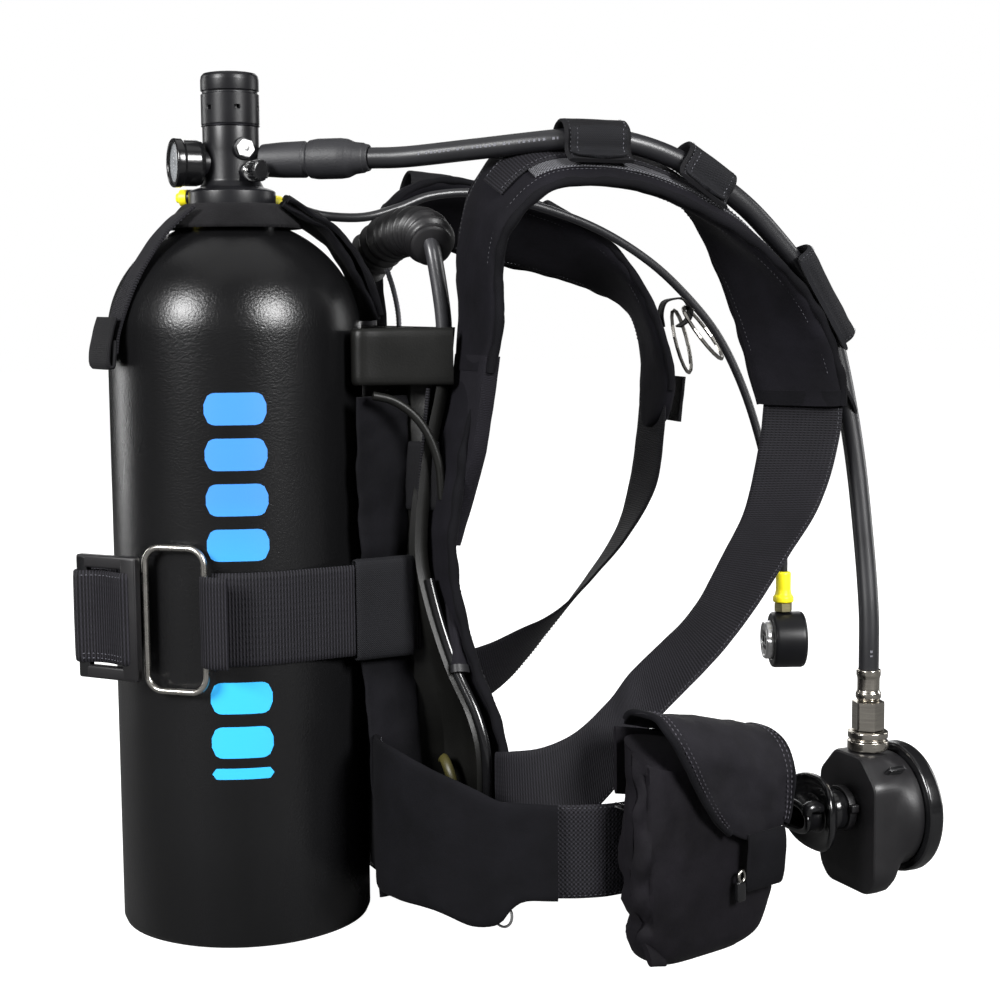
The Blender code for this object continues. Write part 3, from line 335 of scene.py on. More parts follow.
MAT = {
    "tank": tank_paint(),
    "print": blue_print(),
    "anodised": metal("anodised", (0.022, 0.022, 0.025), 0.36, False),
    "body": plastic("valve_black", (0.0045, 0.0045, 0.0055), 0.36, 0.00004, 900, 0.05, 0.25),
    "rubber": plastic("rubber", (0.0075, 0.0075, 0.0085), 0.5, 0.00012, 1100, 0, 0.4),
    "hose": plastic("hose", (0.0075, 0.0075, 0.009), 0.38, 0.00008, 1500, 0.15),
    "sleeve": plastic("sleeve_rubber", (0.009, 0.009, 0.011), 0.55, 0.0002, 900),
    "moulded": plastic("moulded", (0.0062, 0.0058, 0.0066), 0.42, 0.0001, 1300, 0.05, 0.4),
    "plate": plastic("plate", (0.0042, 0.0042, 0.0038), 0.4, 0.0001, 900, 0, 0.22),
    "gloss": plastic("gloss", (0.0045, 0.0045, 0.005), 0.2, 0.00002, 600, 0.3, 0.4),
    "satin": plastic("satin_bar", (0.03, 0.03, 0.033), 0.36, 0.00004, 700, 0.1),
    "pad": cloth("pad_cloth", (0.004, 0.0037, 0.0053), 2600, 0.00012, 1.5, 0.8, 0.08),
    "lining": cloth("lining_cloth", (0.0031, 0.003, 0.004), 1900, 0.0002, 1.4, 0.88, 0.05),
    "felt": cloth("felt_strap", (0.0055, 0.0053, 0.0059), 900, 0.0005, 1.9, 0.95, 0.22),
    "canvas": webbing("canvas", (0.0053, 0.0048, 0.0069), 0.9, 0.9, 0.8, 0.00016, 2.0, 0.82, 0.15),
    "flap": cloth("flap_cloth", (0.0053, 0.0049, 0.0064), 2100, 0.00022, 1.9, 0.78, 0.16),
    "sag": cloth("pouch_cloth", (0.0037, 0.0032, 0.0044), 2300, 0.00018, 1.8, 0.7, 0.1),
    "web": webbing("webbing", (0.0061, 0.0058, 0.0074), 1.5, 2.6, 0.4, 0.00032, 2.0),
    "belt": webbing("belt_webbing", (0.0061, 0.0058, 0.0074), 2.4, 2.4, 0.75, 0.0005, 2.4),
    "band": webbing("band_webbing", (0.0065, 0.0062, 0.0078), 1.75, 3.4, 0.28, 0.0005, 2.5),
    "mesh": webbing("mesh_strip", (0.022, 0.022, 0.024), 1.7, 1.7, 0.9, 0.0007, 5.5),
    "dark_mesh": webbing("spacer_mesh", (0.0046, 0.0044, 0.0053), 1.7, 1.7, 0.9, 0.0005, 2.6),
    "keeper": webbing("keeper_cloth", (0.004, 0.0039, 0.0047), 1.1, 1.1, 0.8, 0.00022, 2.0),
    "sleeve_cloth": webbing("sleeve_cloth", (0.0057, 0.0058, 0.0071), 1.2, 1.2, 0.8, 0.00025, 1.8),
    "thread": plastic("thread", (0.10, 0.10, 0.115), 0.75, 0.0001, 2500),
    "flap_thread": plastic("flap_thread", (0.028, 0.026, 0.033), 0.75, 0.0001, 2500),
    "dark_thread": plastic("dark_thread", (0.03, 0.03, 0.036), 0.75, 0.0001, 2500),
    "steel": metal("ring_steel", (0.42, 0.405, 0.375), 0.25, False),
    "nickel": metal("nickel", (0.47, 0.44, 0.39), 0.2, True),
    "bright": metal("bright_metal", (0.80, 0.80, 0.80), 0.12, False),
    "brass": metal("old_brass", (0.55, 0.50, 0.28), 0.3, True),
    "yellow": plastic("yellow", (0.90, 0.78, 0.012), 0.4, 0.00005, 700),
    "clip": plastic("clip", (0.055, 0.048, 0.012), 0.4, 0.00006, 700),
    "white": plastic("white_mark", (0.75, 0.75, 0.75), 0.5, 0.00003, 700),
    "silver": metal("silver_face", (0.72, 0.72, 0.72), 0.3, False),
    "clear": window_glass(),
    "dial": plastic("dial_face", (0.05, 0.05, 0.054), 0.4, 0.00003, 500),
}


# ---------------------------------------------------------------- mesh helpers, all in millimetres
def build(name, points, faces, look, body="pack", stands_for=(), sharp=38, uv=None, matrix=None):
    mesh = bpy.data.meshes.new(name)
    mesh.from_pydata([Vector(p) * MM for p in points], [], faces)
    if matrix is not None:
        mesh.transform(matrix)
    shape = bmesh.new()
    shape.from_mesh(mesh)
    if uv is not None:
        layer = shape.loops.layers.uv.new("weave")
        shape.verts.ensure_lookup_table()
        for face in shape.faces:
            spots = [uv[loop.vert.index] for loop in face.loops]
            for loop, (a, b) in zip(face.loops, spots):
                loop[layer].uv = (a * MM, b * MM)
    bmesh.ops.recalc_face_normals(shape, faces=shape.faces)
    shape.to_mesh(mesh)
    shape.free()
    mesh.materials.append(MAT[look])
    mesh.polygons.foreach_set("use_smooth", [True] * len(mesh.polygons))
    mesh.set_sharp_from_angle(angle=math.radians(sharp))
    thing = bpy.data.objects.new(name, mesh)
    scene.collection.objects.link(thing)
    if body:
        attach(thing, body)
    for node in ([stands_for] if isinstance(stands_for, str) else stands_for):
        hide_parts(node)
    return thing


def soften(profile, radius=0.6, steps=3):
    """Rounds the inner corners of a profile."""
    out = [profile[0]]
    for a, b, c in zip(profile, profile[1:], profile[2:]):
        a, b, c = Vector(a), Vector(b), Vector(c)
        reach = min(radius, (a - b).length * 0.45, (c - b).length * 0.45)
        if reach < 0.02:
            out.append(tuple(b))
            continue
        start = b + (a - b).normalized() * reach
        end = b + (c - b).normalized() * reach
        for k in range(steps + 1):
            t = k / steps
            out.append(tuple(start * (1 - t) ** 2 + b * 2 * t * (1 - t) + end * t * t))
    out.append(profile[-1])
    return out


def aim(origin, direction):
    turn = Vector(direction).normalized().to_track_quat("Z", "Y").to_matrix().to_4x4()
    return Matrix.Translation(Vector(origin) * MM) @ turn


def lathe(name, profile, look, origin=(0, 0, 0), direction=(0, 0, 1), steps=56, body="pack", stands_for=(),
          radius=0.5, closed=False, ripple=None, sharp=38):
    """Turns a profile of (radius, height). ripple(angle, radius, height) may move a point in or out."""
    line = soften(profile, radius) if radius else list(profile)
    points, rings = [], []
    for r, h in line:
        if r < 0.001:
            rings.append([len(points)])
            points.append((0, 0, h))
            continue
        ring = []
        for k in range(steps):
            angle = math.tau * k / steps
            reach = r + (ripple(angle, r, h) if ripple else 0)
            ring.append(len(points))
            points.append((reach * math.cos(angle), reach * math.sin(angle), h))
        rings.append(ring)
    faces = []
    pairs = list(zip(rings, rings[1:]))
    if closed:
        pairs.append((rings[-1], rings[0]))
    for low, high in pairs:
        for k in range(steps):
            n = (k + 1) % steps
            if len(low) == 1 and len(high) == 1:
                continue
            if len(low) == 1:
                faces.append((low[0], high[n], high[k]))
            elif len(high) == 1:
                faces.append((low[k], low[n], high[0]))
            else:
                faces.append((low[k], low[n], high[n], high[k]))
    return build(name, points, faces, look, body, stands_for, sharp, matrix=aim(origin, direction))


def smooth_route(route, spacing):
    """Catmull-Rom points about one spacing apart."""
    nodes = [Vector(point) for point in route]
    ends = [nodes[0] * 2 - nodes[1]] + nodes + [nodes[-1] * 2 - nodes[-2]]
    points = [nodes[0]]
    for i in range(1, len(ends) - 2):
        a, b, c, d = ends[i - 1:i + 3]
        count = max(1, round((c - b).length / spacing))
        for k in range(1, count + 1):
            t = k / count
            points.append(0.5 * (2 * b + (c - a) * t + (2 * a - 5 * b + 4 * c - d) * t ** 2
                                 + (3 * b - a - 3 * c + d) * t ** 3))
    return points


def frames_along(points, cyclic=False):
    """Tangent, side and up at each point, carried along without twist."""
    count = len(points)
    out, side = [], None
    for i, point in enumerate(points):
        before = points[(i - 1) % count] if cyclic else points[max(0, i - 1)]
        after = points[(i + 1) % count] if cyclic else points[min(count - 1, i + 1)]
        tangent = (after - before).normalized()
        if side is None:
            side = tangent.orthogonal().normalized()
        side = (side - tangent * side.dot(tangent)).normalized()
        out.append((point, tangent, side, tangent.cross(side)))
    return out


def tube(name, points, radius, look, body="pack", stands_for=(), around=18, cyclic=False, flat=1.0):
    """A round bar along points; radius is a number or a function of the share of the length."""
    points = [Vector(p) for p in points]
    rings, verts, uv, run = [], [], [], 0.0
    for i, (point, _, side, up) in enumerate(frames_along(points, cyclic)):
        if i:
            run += (point - points[i - 1]).length
        reach = radius(i / (len(points) - 1)) if callable(radius) else radius
        ring = []
        for k in range(around):
            angle = math.tau * k / around
            ring.append(len(verts))
            verts.append(point + side * reach * math.cos(angle) + up * reach * flat * math.sin(angle))
            uv.append((run, reach * angle))
        rings.append(ring)
    faces = []
    for i in range(len(rings) if cyclic else len(rings) - 1):
        low, high = rings[i], rings[(i + 1) % len(rings)]
        for k in range(around):
            n = (k + 1) % around
            faces.append((low[k], low[n], high[n], high[k]))
    if not cyclic:
        faces += [tuple(rings[0][::-1]), tuple(rings[-1])]
    return build(name, verts, faces, look, body, stands_for, 50, uv)


class Ribbon:
    """The middle surface of a strap: position, width direction and normal along its length."""

    def __init__(self, stations, spacing=4.0):
        middles = [Vector(m) for m, _, _ in stations]
        sides = [[Vector(m) + Vector(a).normalized() * w * s for m, a, w in stations] for s in (-0.5, 0.5)]
        counts = [max(1, round((b - a).length / spacing)) for a, b in zip(middles, middles[1:])]
        lines = [self.even(side, counts) for side in sides]
        self.rows = []
        run = 0.0
        last = None
        for i, (left, right) in enumerate(zip(*lines)):
            middle = (left + right) / 2
            if last is not None:
                run += (middle - last).length
            last = middle
            self.rows.append([middle, (right - left).normalized(), (right - left).length / 2, run, None])
        for i, row in enumerate(self.rows):
            ahead = self.rows[min(i + 1, len(self.rows) - 1)][0] - self.rows[max(i - 1, 0)][0]
            row[4] = ahead.normalized().cross(row[1]).normalized()
        self.length = run

    @staticmethod
    def even(route, counts):
        ends = [route[0] * 2 - route[1]] + list(route) + [route[-1] * 2 - route[-2]]
        points = [route[0]]
        for i, count in enumerate(counts, 1):
            a, b, c, d = ends[i - 1:i + 3]
            for k in range(1, count + 1):
                t = k / count
                points.append(0.5 * (2 * b + (c - a) * t + (2 * a - 5 * b + 4 * c - d) * t ** 2
                                     + (3 * b - a - 3 * c + d) * t ** 3))
        return points

    def at(self, run, v=0.0, lift=0.0):
        """The point at a run along the strap, v across it as a share of its half width, lifted off its face."""
        run = min(max(run, 0.0), self.length)
        for low, high in zip(self.rows, self.rows[1:]):
            if run <= high[3] + 1e-6:
                t = (run - low[3]) / max(1e-6, high[3] - low[3])
                middle, across, half, _, normal = [a + (b - a) * t for a, b in zip(low, high)]
                return middle + across * half * v + normal * lift
        return self.rows[-1][0]

    def normal(self, run):
        return min(self.rows, key=lambda row: abs(row[3] - run))[4]


def strap(name, ribbon, thickness, look, edge=24, columns=10, body="pack", stands_for=(), wobble=0.0,
          seed=0.0,
          low=0.0, high=None, narrow=None, lift=0.0, crown=0.0):
    """A solid along a Ribbon with rounded edges; wobble moves its skin with soft noise, crown bulges one face."""
    high = ribbon.length if high is None else high
    rows = [row for row in ribbon.rows if low - 0.01 <= row[3] <= high + 0.01]
    spots = [math.cos(math.pi * (1 - k / columns)) for k in range(columns + 1)]
    spots = [math.copysign(abs(s) ** 0.75, s) for s in spots]
    verts, uv, rings = [], [], []
    for middle, across, half, run, normal in rows:
        share = (run - low) / max(1e-6, high - low)
        width = half * (narrow(share) if narrow else 1.0)
        ring = []
        for side in (1, -1):
            for v in (spots if side > 0 else spots[::-1][1:-1]):
                tall = thickness / 2 * (1 - abs(v) ** edge) ** 0.5 if abs(v) < 1 else 0.0
                if side > 0:
                    tall += crown * (1 - v * v)
                point = middle + across * width * v + normal * (side * tall + lift)
                if wobble:
                    amount = noise.noise(point * 0.045 + Vector((seed, 0, 0)))
                    amount += 0.5 * noise.noise(point * 0.12 + Vector((0, seed, 0)))
                    point += normal * amount * wobble
                    point += across * noise.noise(point * 0.06 + Vector((0, 0, seed))) * wobble * 0.7
                ring.append(len(verts))
                verts.append(point)
                uv.append((run, width * v))
        rings.append(ring)
    faces = []
    size = len(rings[0])
    for a, b in zip(rings, rings[1:]):
        for k in range(size):
            n = (k + 1) % size
            faces.append((a[k], a[n], b[n], b[k]))
    faces += [tuple(rings[0][::-1]), tuple(rings[-1])]
    return build(name, verts, faces, look, body, stands_for, 50, uv)


def stitches(name, line, normals, look="dark_thread", pitch=2.6, long=1.7, wide=0.55, body="pack"):
    """Short threads laid along a line of points."""
    verts, faces = [], []
    line = [Vector(p) for p in line]
    carry = 0.0
    for i in range(len(line) - 1):
        a, b = line[i], line[i + 1]
        length = (b - a).length
        if length < 1e-6:
            continue
        run = (b - a) / length
        up = (Vector(normals[i]) - run * Vector(normals[i]).dot(run)).normalized()
        side = run.cross(up)
        spot = carry
        while spot < length:
            centre = a + run * spot
            base = len(verts)
            verts += [centre - run * long / 2, centre + side * wide / 2, centre + up * wide * 0.6,
                      centre - side * wide / 2, centre - up * wide * 0.5, centre + run * long / 2]
            for k in range(4):
                m, n = base + 1 + k, base + 1 + (k + 1) % 4
                faces += [(base, n, m), (base + 5, m, n)]
            spot += pitch
        carry = spot - length
    return build(name, verts, faces, look, body, (), 80)


def strap_stitch(name, ribbon, v, lift, low=0.0, high=None, look="dark_thread", step=3.0, body="pack",
                 **sizes):
    high = ribbon.length if high is None else high
    count = max(2, round((high - low) / step))
    runs = [low + (high - low) * k / count for k in range(count + 1)]
    sign = 1 if lift > 0 else -1
    return stitches(name, [ribbon.at(run, v, lift) for run in runs],
                    [ribbon.normal(run) * sign for run in runs],
                    look, body=body, **sizes)


def rounded_block(name, size, centre, look, turn=None, edge=1.5, body="pack", stands_for=(), cuts=0):
    shape = bmesh.new()
    bmesh.ops.create_cube(shape, size=1.0, matrix=Matrix.Diagonal((*size, 1.0)))
    bmesh.ops.bevel(shape, geom=list(shape.edges), offset=edge, segments=4, profile=0.5, affect="EDGES",
                    clamp_overlap=True)
    if cuts:
        bmesh.ops.subdivide_edges(shape, edges=[e for e in shape.edges if e.calc_length() > max(size) / 4],
                                  cuts=cuts, use_grid_fill=True)
    points = [v.co.copy() for v in shape.verts]
    faces = [[v.index for v in f.verts] for f in shape.faces]
    shape.free()
    turn = turn or Matrix.Identity(4)
    points = [turn @ p + Vector(centre) for p in points]
    uv = [((turn.inverted() @ (p - Vector(centre))).x,
           (turn.inverted() @ (p - Vector(centre))).z) for p in points]
    return build(name, points, faces, look, body, stands_for, 30, uv)


def hexagon(name, flats, low, high, look, origin, direction=(0, 0, 1), turn=0.0, body="pack", stands_for=()):
    """A chamfered hexagonal nut."""
    steps = 72
    radius = flats / math.sqrt(3)

    def ripple(angle, r, h):
        bend = (angle + turn) % (math.pi / 3) - math.pi / 6
        flat = flats / 2 / math.cos(bend)
        limit = radius * (0.955 + 0.045 * min(1.0, min(h - low, high - h) / 1.6))
        return min(flat, limit) * (r / radius) - r

    profile = [(0, low), (radius * 0.9, low), (radius, low + 0.3), (radius, (low + high) / 2), (radius,
            high - 0.3),
               (radius * 0.9, high), (0, high)]
    fine = []
    for (a, b), (c, d) in zip(profile, profile[1:]):
        count = 6 if abs(d - b) > 2 else 1
        fine += [(a + (c - a) * k / count, b + (d - b) * k / count) for k in range(count)]
    fine.append(profile[-1])
    return lathe(name, fine, look, origin, direction, steps, body, stands_for, 0, ripple=ripple, sharp=24)


# ---------------------------------------------------------------- the two hoses, as round tubes along their routes
def hose(name, route, radius, stands_for, look):
    points = smooth_route(route, 5)
    thing = tube(name, points, radius, look, stands_for=stands_for, around=24)
    return points


lp_points = hose("regulator_hose", LP_ROUTE, LP_R, "lp_hose", "hose")
hose("gauge_hose", HP_ROUTE, HP_R, "pressure_hose", "hose")


def hose_ticks():
    """Plain pale tick marks along the regulator hose, with no lettering."""
    verts, faces = [], []
    path = frames_along(lp_points)
    towards = Vector((-0.35, -0.93, 0.1)).normalized()
    for low, high in ((6, 26), (100, 138)):
        for i in range(low, min(high, len(path) - 2)):
            point, run, _, _ = path[i]
            out = (towards - run * towards.dot(run)).normalized()
            side = run.cross(out)
            for k in range(2):
                if (i * 7 + k * 3) % 5 == 0:
                    continue
                start = point + run * (k * 2.4)
                long = 0.9 + 0.5 * ((i * 3 + k) % 3)
                base = len(verts)
                for a, b in ((0, -0.7), (long, -0.7), (long, 0.7), (0, 0.7)):
                    lean = b / LP_R
                    verts.append(start + run * a + (out * math.cos(lean) + side * math.sin(lean)) * (LP_R + 0.06))
                faces.append((base, base + 1, base + 2, base + 3))
    return build("hose_ticks", verts, faces, "thread")


hose_ticks()


# ---------------------------------------------------------------- cylinder
def make_tank():
    profile = [(0, 3.5), (50, 3.5), (57, 0.6), (62, 0), (66, 0), (68.8, 1.2), (TANK_R, 4), (TANK_R, 60),
               (TANK_R, 150), (TANK_R, 240), (TANK_R, SHOULDER_Z - 8)]
    for k in range(0, 29):
        angle = math.radians(k * 2.72)
        profile.append((TANK_R * math.cos(angle), SHOULDER_Z + DOME_H * math.sin(angle)))
    profile += [(17.6, 393.2), (17, 396), (17, 402), (0, 402)]
    lathe("tank_shell", profile, "tank", steps=128, stands_for="cylinder", radius=0, sharp=60)


def arc_patch(name, angle, z, wide, tall, corner, look, radius=TANK_R + 0.07):
    """A rounded rectangle printed on the cylinder, centred at an angle and height."""
    outline = []
    for cx, cz, begin in ((wide / 2 - corner, tall / 2 - corner, 0), (corner - wide / 2, tall / 2 - corner,
                                                                      90),
                          (corner - wide / 2, corner - tall / 2, 180), (wide / 2 - corner,
                                  corner - tall / 2, 270)):
        for k in range(9):
            a = math.radians(begin + 11.25 * k)
            outline.append((cx + corner * math.cos(a), cz + corner * math.sin(a)))
    verts, faces = [], []
    columns = 16
    for k in range(columns + 1):
        s = -wide / 2 + wide * k / columns
        reach = tall / 2
        inset = abs(s) - (wide / 2 - corner)
        if inset > 0:
            reach = tall / 2 - corner + math.sqrt(max(0.0, corner ** 2 - inset ** 2))
        turn = math.radians(angle) + s / radius
        for h in (-reach, reach):
            verts.append((radius * math.cos(turn), radius * math.sin(turn), z + h))
    for k in range(columns):
        faces.append((2 * k, 2 * k + 2, 2 * k + 3, 2 * k + 1))
    return build(name, verts, faces, look)



# what each CAD solid is made of, for those that stay in the picture or inside another piece
CAD_LOOKS = {
    "strap_ring_front": "steel", "strap_ring_rear": "steel", "cam_ring": "steel", "piston": "nickel",
    "main_spring": "steel", "demand_valve": "nickel", "demand_lever": "steel", "diaphragm": "rubber",
    "exhaust_valve": "rubber", "console_needle": "white", "gauge_needle": "white", "gauge_lens": "clear",
    "console_lens": "clear", "lp_nut": "nickel", "lp_ferrule": "nickel", "inlet_fitting": "nickel",
    "cylinder": "tank",
}


def dress_cad():
    for name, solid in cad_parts.items():
        solid.data.materials.clear()
        solid.data.materials.append(MAT[CAD_LOOKS.get(name, "moulded")])


dress_cad()
make_tank()
PRINT_ANGLE = -107.0
for number, (height, tall) in enumerate(((292, 17), (268, 17), (244, 17), (220, 17), (138, 17), (114, 17),
                                         (97, 6))):
    arc_patch(f"blue_bar_{number}", PRINT_ANGLE, height, 33, tall, min(6, tall / 2 - 0.2), "print")


# ---------------------------------------------------------------- first stage, cap, gauge and ports
def make_first_stage():
    body = [
        (0, 424), (11, 424), (11, 443.7), (15.5, 443.7), (15.5, 430), (15.9, 414), (17.6, 410.6), (21.6,
                409.5),
        (24, 408.3), (24, 399.4), (22.6, 398.5), (19, 398.5), (19, 402.3), (8.5, 402.3), (8.5, 384), (0, 384),
    ]
    lathe("first_stage_body", body, "body", steps=72, stands_for="valve_body", radius=0.7)
    for name, radius, start, end, height, direction in (
            ("gauge_boss", 7.5, 12.5, 17.2, GAUGE_Z, (-1, 0, 0)), ("lp_boss", 7.2, 12.5, 18.2, LP_Z, LP_DIR),
            ("plug_boss", 6.2, 12.5, 16.8, 431, PLUG_DIR), ("fill_boss", 4.8, 12.5, 18.2, 418.6, FILL_DIR),
            ("pressure_boss", 4.6, 18, 25.7, HP_Z, HP_DIR), ("spare_boss", 4.6, 18, 25.7, HP_Z + 1,
                                                             SPARE_DIR)):
        lathe(name, [(0, end), (radius, end), (radius, start), (0, start)], "body", (0, 0, height),
              direction, 40,
              radius=0.6)

    def holes(angle, r, h):
        return -2.6 if abs(h - 453.5) < 1.1 and abs(((math.degrees(angle) + 62) % 60) - 30) < 3.9 else 0.0

    cap = [(0, 473), (11.5, 473), (14.4, 472.4), (15.6, 471.0), (16, 469), (16, 463), (15.2, 462.7), (15.2,
            461.4),
           (16, 461.1)]
    cap += [(16, 461 - 0.5 * k) for k in range(1, 32)]
    cap += [(16, 444.9), (15.4, 444), (12.5, 444), (12.5, 469), (0, 469)]
    lathe("balance_cap", cap, "body", steps=96, body="cap", stands_for="top_cap", radius=0.25, ripple=holes)
    lathe("cap_seam", [(15.6, 444.3), (16.05, 444.2), (16.05, 443.8), (15.6, 443.7)], "anodised", steps=64,
          radius=0,
          closed=True)


def knurled(angle, r, h):
    return 0.28 * (1 if math.sin(angle * 22) > 0 else -1) if 5.0 < r else 0.0


def make_gauge():
    back, origin = (-1, 0, 0), (0, 0, GAUGE_Z)
    case = [(0, 30), (10.6, 30), (10.8, 33), (12.2, 33.7), (13.4, 32.8), (13.4, 29), (12.6, 28), (12.6, 20),
            (11.8, 17.4), (0, 17.4)]
    lathe("cylinder_gauge_case", case, "gloss", origin, back, 64, stands_for="gauge_case", radius=0.5)
    lathe("cylinder_gauge_dial", [(0, 30.3), (10.3, 30.3), (10.3, 30.05), (0, 30.05)], "dial", origin, back,
          48,
          radius=0)
    for k in range(21):
        angle = math.radians(225 - 270 * k / 20)
        long = 2.4 if k % 5 == 0 else 1.4
        turn = Matrix.Rotation(angle - math.pi / 2, 4, "X")
        reach = 9.3 - long / 2
        rounded_block(f"dial_mark_{k}", (0.16, 0.34, long),
                      (-30.4, reach * math.cos(angle),
                       GAUGE_Z + reach * math.sin(angle)), "white", turn, 0.03)
    lathe("cylinder_gauge_hub", [(0, 31.9), (1.5, 31.8), (1.7, 30.4), (0, 30.3)], "gloss", origin, back, 24,
          radius=0.1, body="cylinder_pointer")
    needle = [(0, 0, 0), (0, 0.5, 1.5), (0, 0.16, 8.2), (0, -0.16, 8.2), (0, -0.5, 1.5)]
    points = [(-31.0 + k * 0.3, 0, 0) for k in (0, 1)]
    verts = [(x, y, GAUGE_Z + z) for x, _, _ in points for _, y, z in needle[1:]]
    faces = [(0, 1, 2, 3), (7, 6, 5, 4), (0, 4, 5, 1), (1, 5, 6, 2), (2, 6, 7, 3), (3, 7, 4, 0)]
    build("cylinder_gauge_needle", verts, faces, "white", "cylinder_pointer", "gauge_needle")
    window = [(0, 32.5), (7, 32.4), (10.6, 31.9), (10.6, 31.5), (0, 31.7)]
    lathe("cylinder_gauge_window", window, "clear", origin, back, 56, stands_for="gauge_lens", radius=0.1)


def make_ports():
    hexagon("port_plug_head", 8.8, 16.9, 19.5, "white", (0, 0, 431), PLUG_DIR, 0.2, stands_for="port_plug")
    lathe("port_plug_socket", [(0, 19.6), (1.7, 19.58), (2.0, 19.4), (0, 19.35)], "silver", (0, 0, 431),
          PLUG_DIR, 6,
          radius=0)
    fill = [(0, 22.5), (4.6, 22.5), (4.7, 20.6), (5.5, 20.2), (5.5, 18.3), (0, 18.3)]
    lathe("fill_nipple", fill, "bright", (0, 0, 418.6), FILL_DIR, 40, stands_for="fill_valve", radius=0.2)
    knob = [(0, 29.2), (4.2, 29.2), (5.6, 28.6), (5.7, 27.4), (5.7, 24), (5.4, 22.8), (0, 22.8)]
    lathe("fill_dust_cap", knob, "gloss", (0, 0, 418.6), FILL_DIR, 88, "dust_cap", "fill_cap", 0.25,
          ripple=knurled,
          sharp=25)
    spare = [(0, 32.5), (2.6, 32.5), (2.9, 30.6), (4.6, 30.2), (4.6, 25.8), (0, 25.8)]
    lathe("spare_port_cap", spare, "yellow", (0, 0, HP_Z + 1), SPARE_DIR, 40,
          stands_for="pressure_port_cap", radius=0.3)
    reach = math.hypot(LP_ROUTE[0][0], LP_ROUTE[0][1]) - 0.3
    sleeve = [
        (5.9, reach + 0.1), (7.1, reach), (7.7, reach - 2.6), (8.1, reach - 3), (8.7, reach - 8), (10.5,
                reach - 12),
        (11, reach - 16), (11, reach - 29), (10.3, reach - 33.5), (9.3, reach - 34.2), (9.2, reach - 36),
        (10.0, reach - 36.6), (9.7, reach - 50), (8.9, 19.5), (8.6, 18.4), (0, 18.4),
    ]
    lathe("regulator_hose_sleeve", sleeve, "sleeve", (0, 0, LP_Z), LP_DIR, 64, stands_for="lp_sleeve",
          radius=0.8)
    reach = math.hypot(HP_ROUTE[0][0], HP_ROUTE[0][1]) - 0.3
    sleeve = [(2.9, reach), (3.6, reach), (4.0, reach - 8), (5.0, reach - 12), (5.0, 25.8), (0, 25.8)]
    lathe("gauge_hose_sleeve", sleeve, "yellow", (0, 0, HP_Z), HP_DIR, 40, stands_for="pressure_sleeve",
          radius=0.4)


make_first_stage()
make_gauge()
make_ports()


# ---------------------------------------------------------------- webbing round the cylinder's neck
def make_neck_webbing():
    def ragged(angle, r, h):
        if h > 391:
            return 0.25 * noise.noise(Vector((angle * 6, 0, h * 0.3)))
        return 0.8 * noise.noise(Vector((angle * 9, 2, 0))) + 0.35 * math.sin(angle * 61)

    cone = [(25.2, 401), (26.6, 401.4), (28.6, 399.8), (31.5, 396.6), (34.8, 393.2), (38.2, 389.4), (38,
            387.8),
            (36.6, 388.0), (32, 392.2), (26.4, 397.6)]
    lathe("neck_loop", cone, "felt", steps=160, stands_for="neck_strap", radius=0.5, closed=True,
          ripple=ragged)
    heading = math.radians(-170)
    across = (-math.sin(heading), math.cos(heading), 0)
    tail = []
    for radius, z, turn, wide in ((34, 396.5, 13, 22), (40, 392, 12, 20), (50, 382, 10, 18), (59, 369.6, 8,
            18),
                                  (66, 356.2, 6, 18), (70.6, 341.8, 3, 19), (73.4, 328, 0, 21), (74.2, 318,
                                          -1, 23)):
        spin = heading + math.radians(turn)
        tail.append(((radius * math.cos(spin), radius * math.sin(spin), z), (-math.sin(spin),
                math.cos(spin), 0.25), wide))
    ribbon = Ribbon(tail, 2.5)
    strap("neck_tail", ribbon, 2.2, "web", stands_for="neck_strap_tail", wobble=0.5)
    strap_stitch("neck_tail_stitch", ribbon, 0.82, -1.2, 2, 70)
    strap_stitch("neck_tail_stitch_2", ribbon, -0.82, -1.2, 2, 70)
    fold = [((x, y, z), across, 26) for x, y, z in (
        (-74.2, -13.1, 340), (-76.6, -13.6, 333), (-78.6, -13.9, 324), (-79.4, -14.0, 316.5), (-78.4, -13.8,
                313.6),
        (-76.4, -13.5, 313.8), (-75.8, -13.4, 320), (-75.0, -13.2, 328))]
    strap("neck_tail_fold", Ribbon(fold, 1.6), 2.4, "keeper", wobble=0.5, seed=3)
    heading = math.radians(-9)
    across = (math.sin(heading), -math.cos(heading), 0)
    for number, (shift, wide, lift) in enumerate(((0, 44, 0), (10, 30, 4.6), (-6, 26, 8.0))):
        run = []
        for radius, z in ((26, 401), (40, 392.5), (53, 383), (63, 369.6), (70.5, 353.4), (75.6, 337)):
            spot = Vector((radius * math.cos(heading), radius * math.sin(heading),
                           z)) + Vector(across) * shift
            run.append((tuple(spot + Vector((0.6, 0, 0.6)) * lift), across, wide))
        strap(f"neck_run_{number}", Ribbon(run, 2.5), 3.4, "lining", 12, wobble=2.4, seed=5 + number)


make_neck_webbing()


# ---------------------------------------------------------------- shoulder pads, webbing and their trim
def piping(name, ribbon, v, lift, radius, look, low=0.0, high=None, wobble=0.8, seed=0.0):
    high = ribbon.length if high is None else high
    count = max(4, round((high - low) / 3))
    points = []
    for k in range(count + 1):
        point = ribbon.at(low + (high - low) * k / count, v, lift)
        shift = Vector([noise.noise(point * 0.09 + Vector((seed + n * 7, 0, 0))) for n in range(3)])
        points.append(point + shift * wobble)
    return tube(name, points, lambda t: radius * (1 + 0.12 * math.sin(t * count * 0.9)), look, around=10)


def rounded_end(begin, finish):
    def share(t):
        out = 1.0
        if t < begin:
            out = math.sqrt(max(0.02, 1 - (1 - t / begin) ** 2))
        if t > 1 - finish:
            out = min(out, math.sqrt(max(0.02, 1 - ((t - 1 + finish) / finish) ** 2)))
        return out
    return share


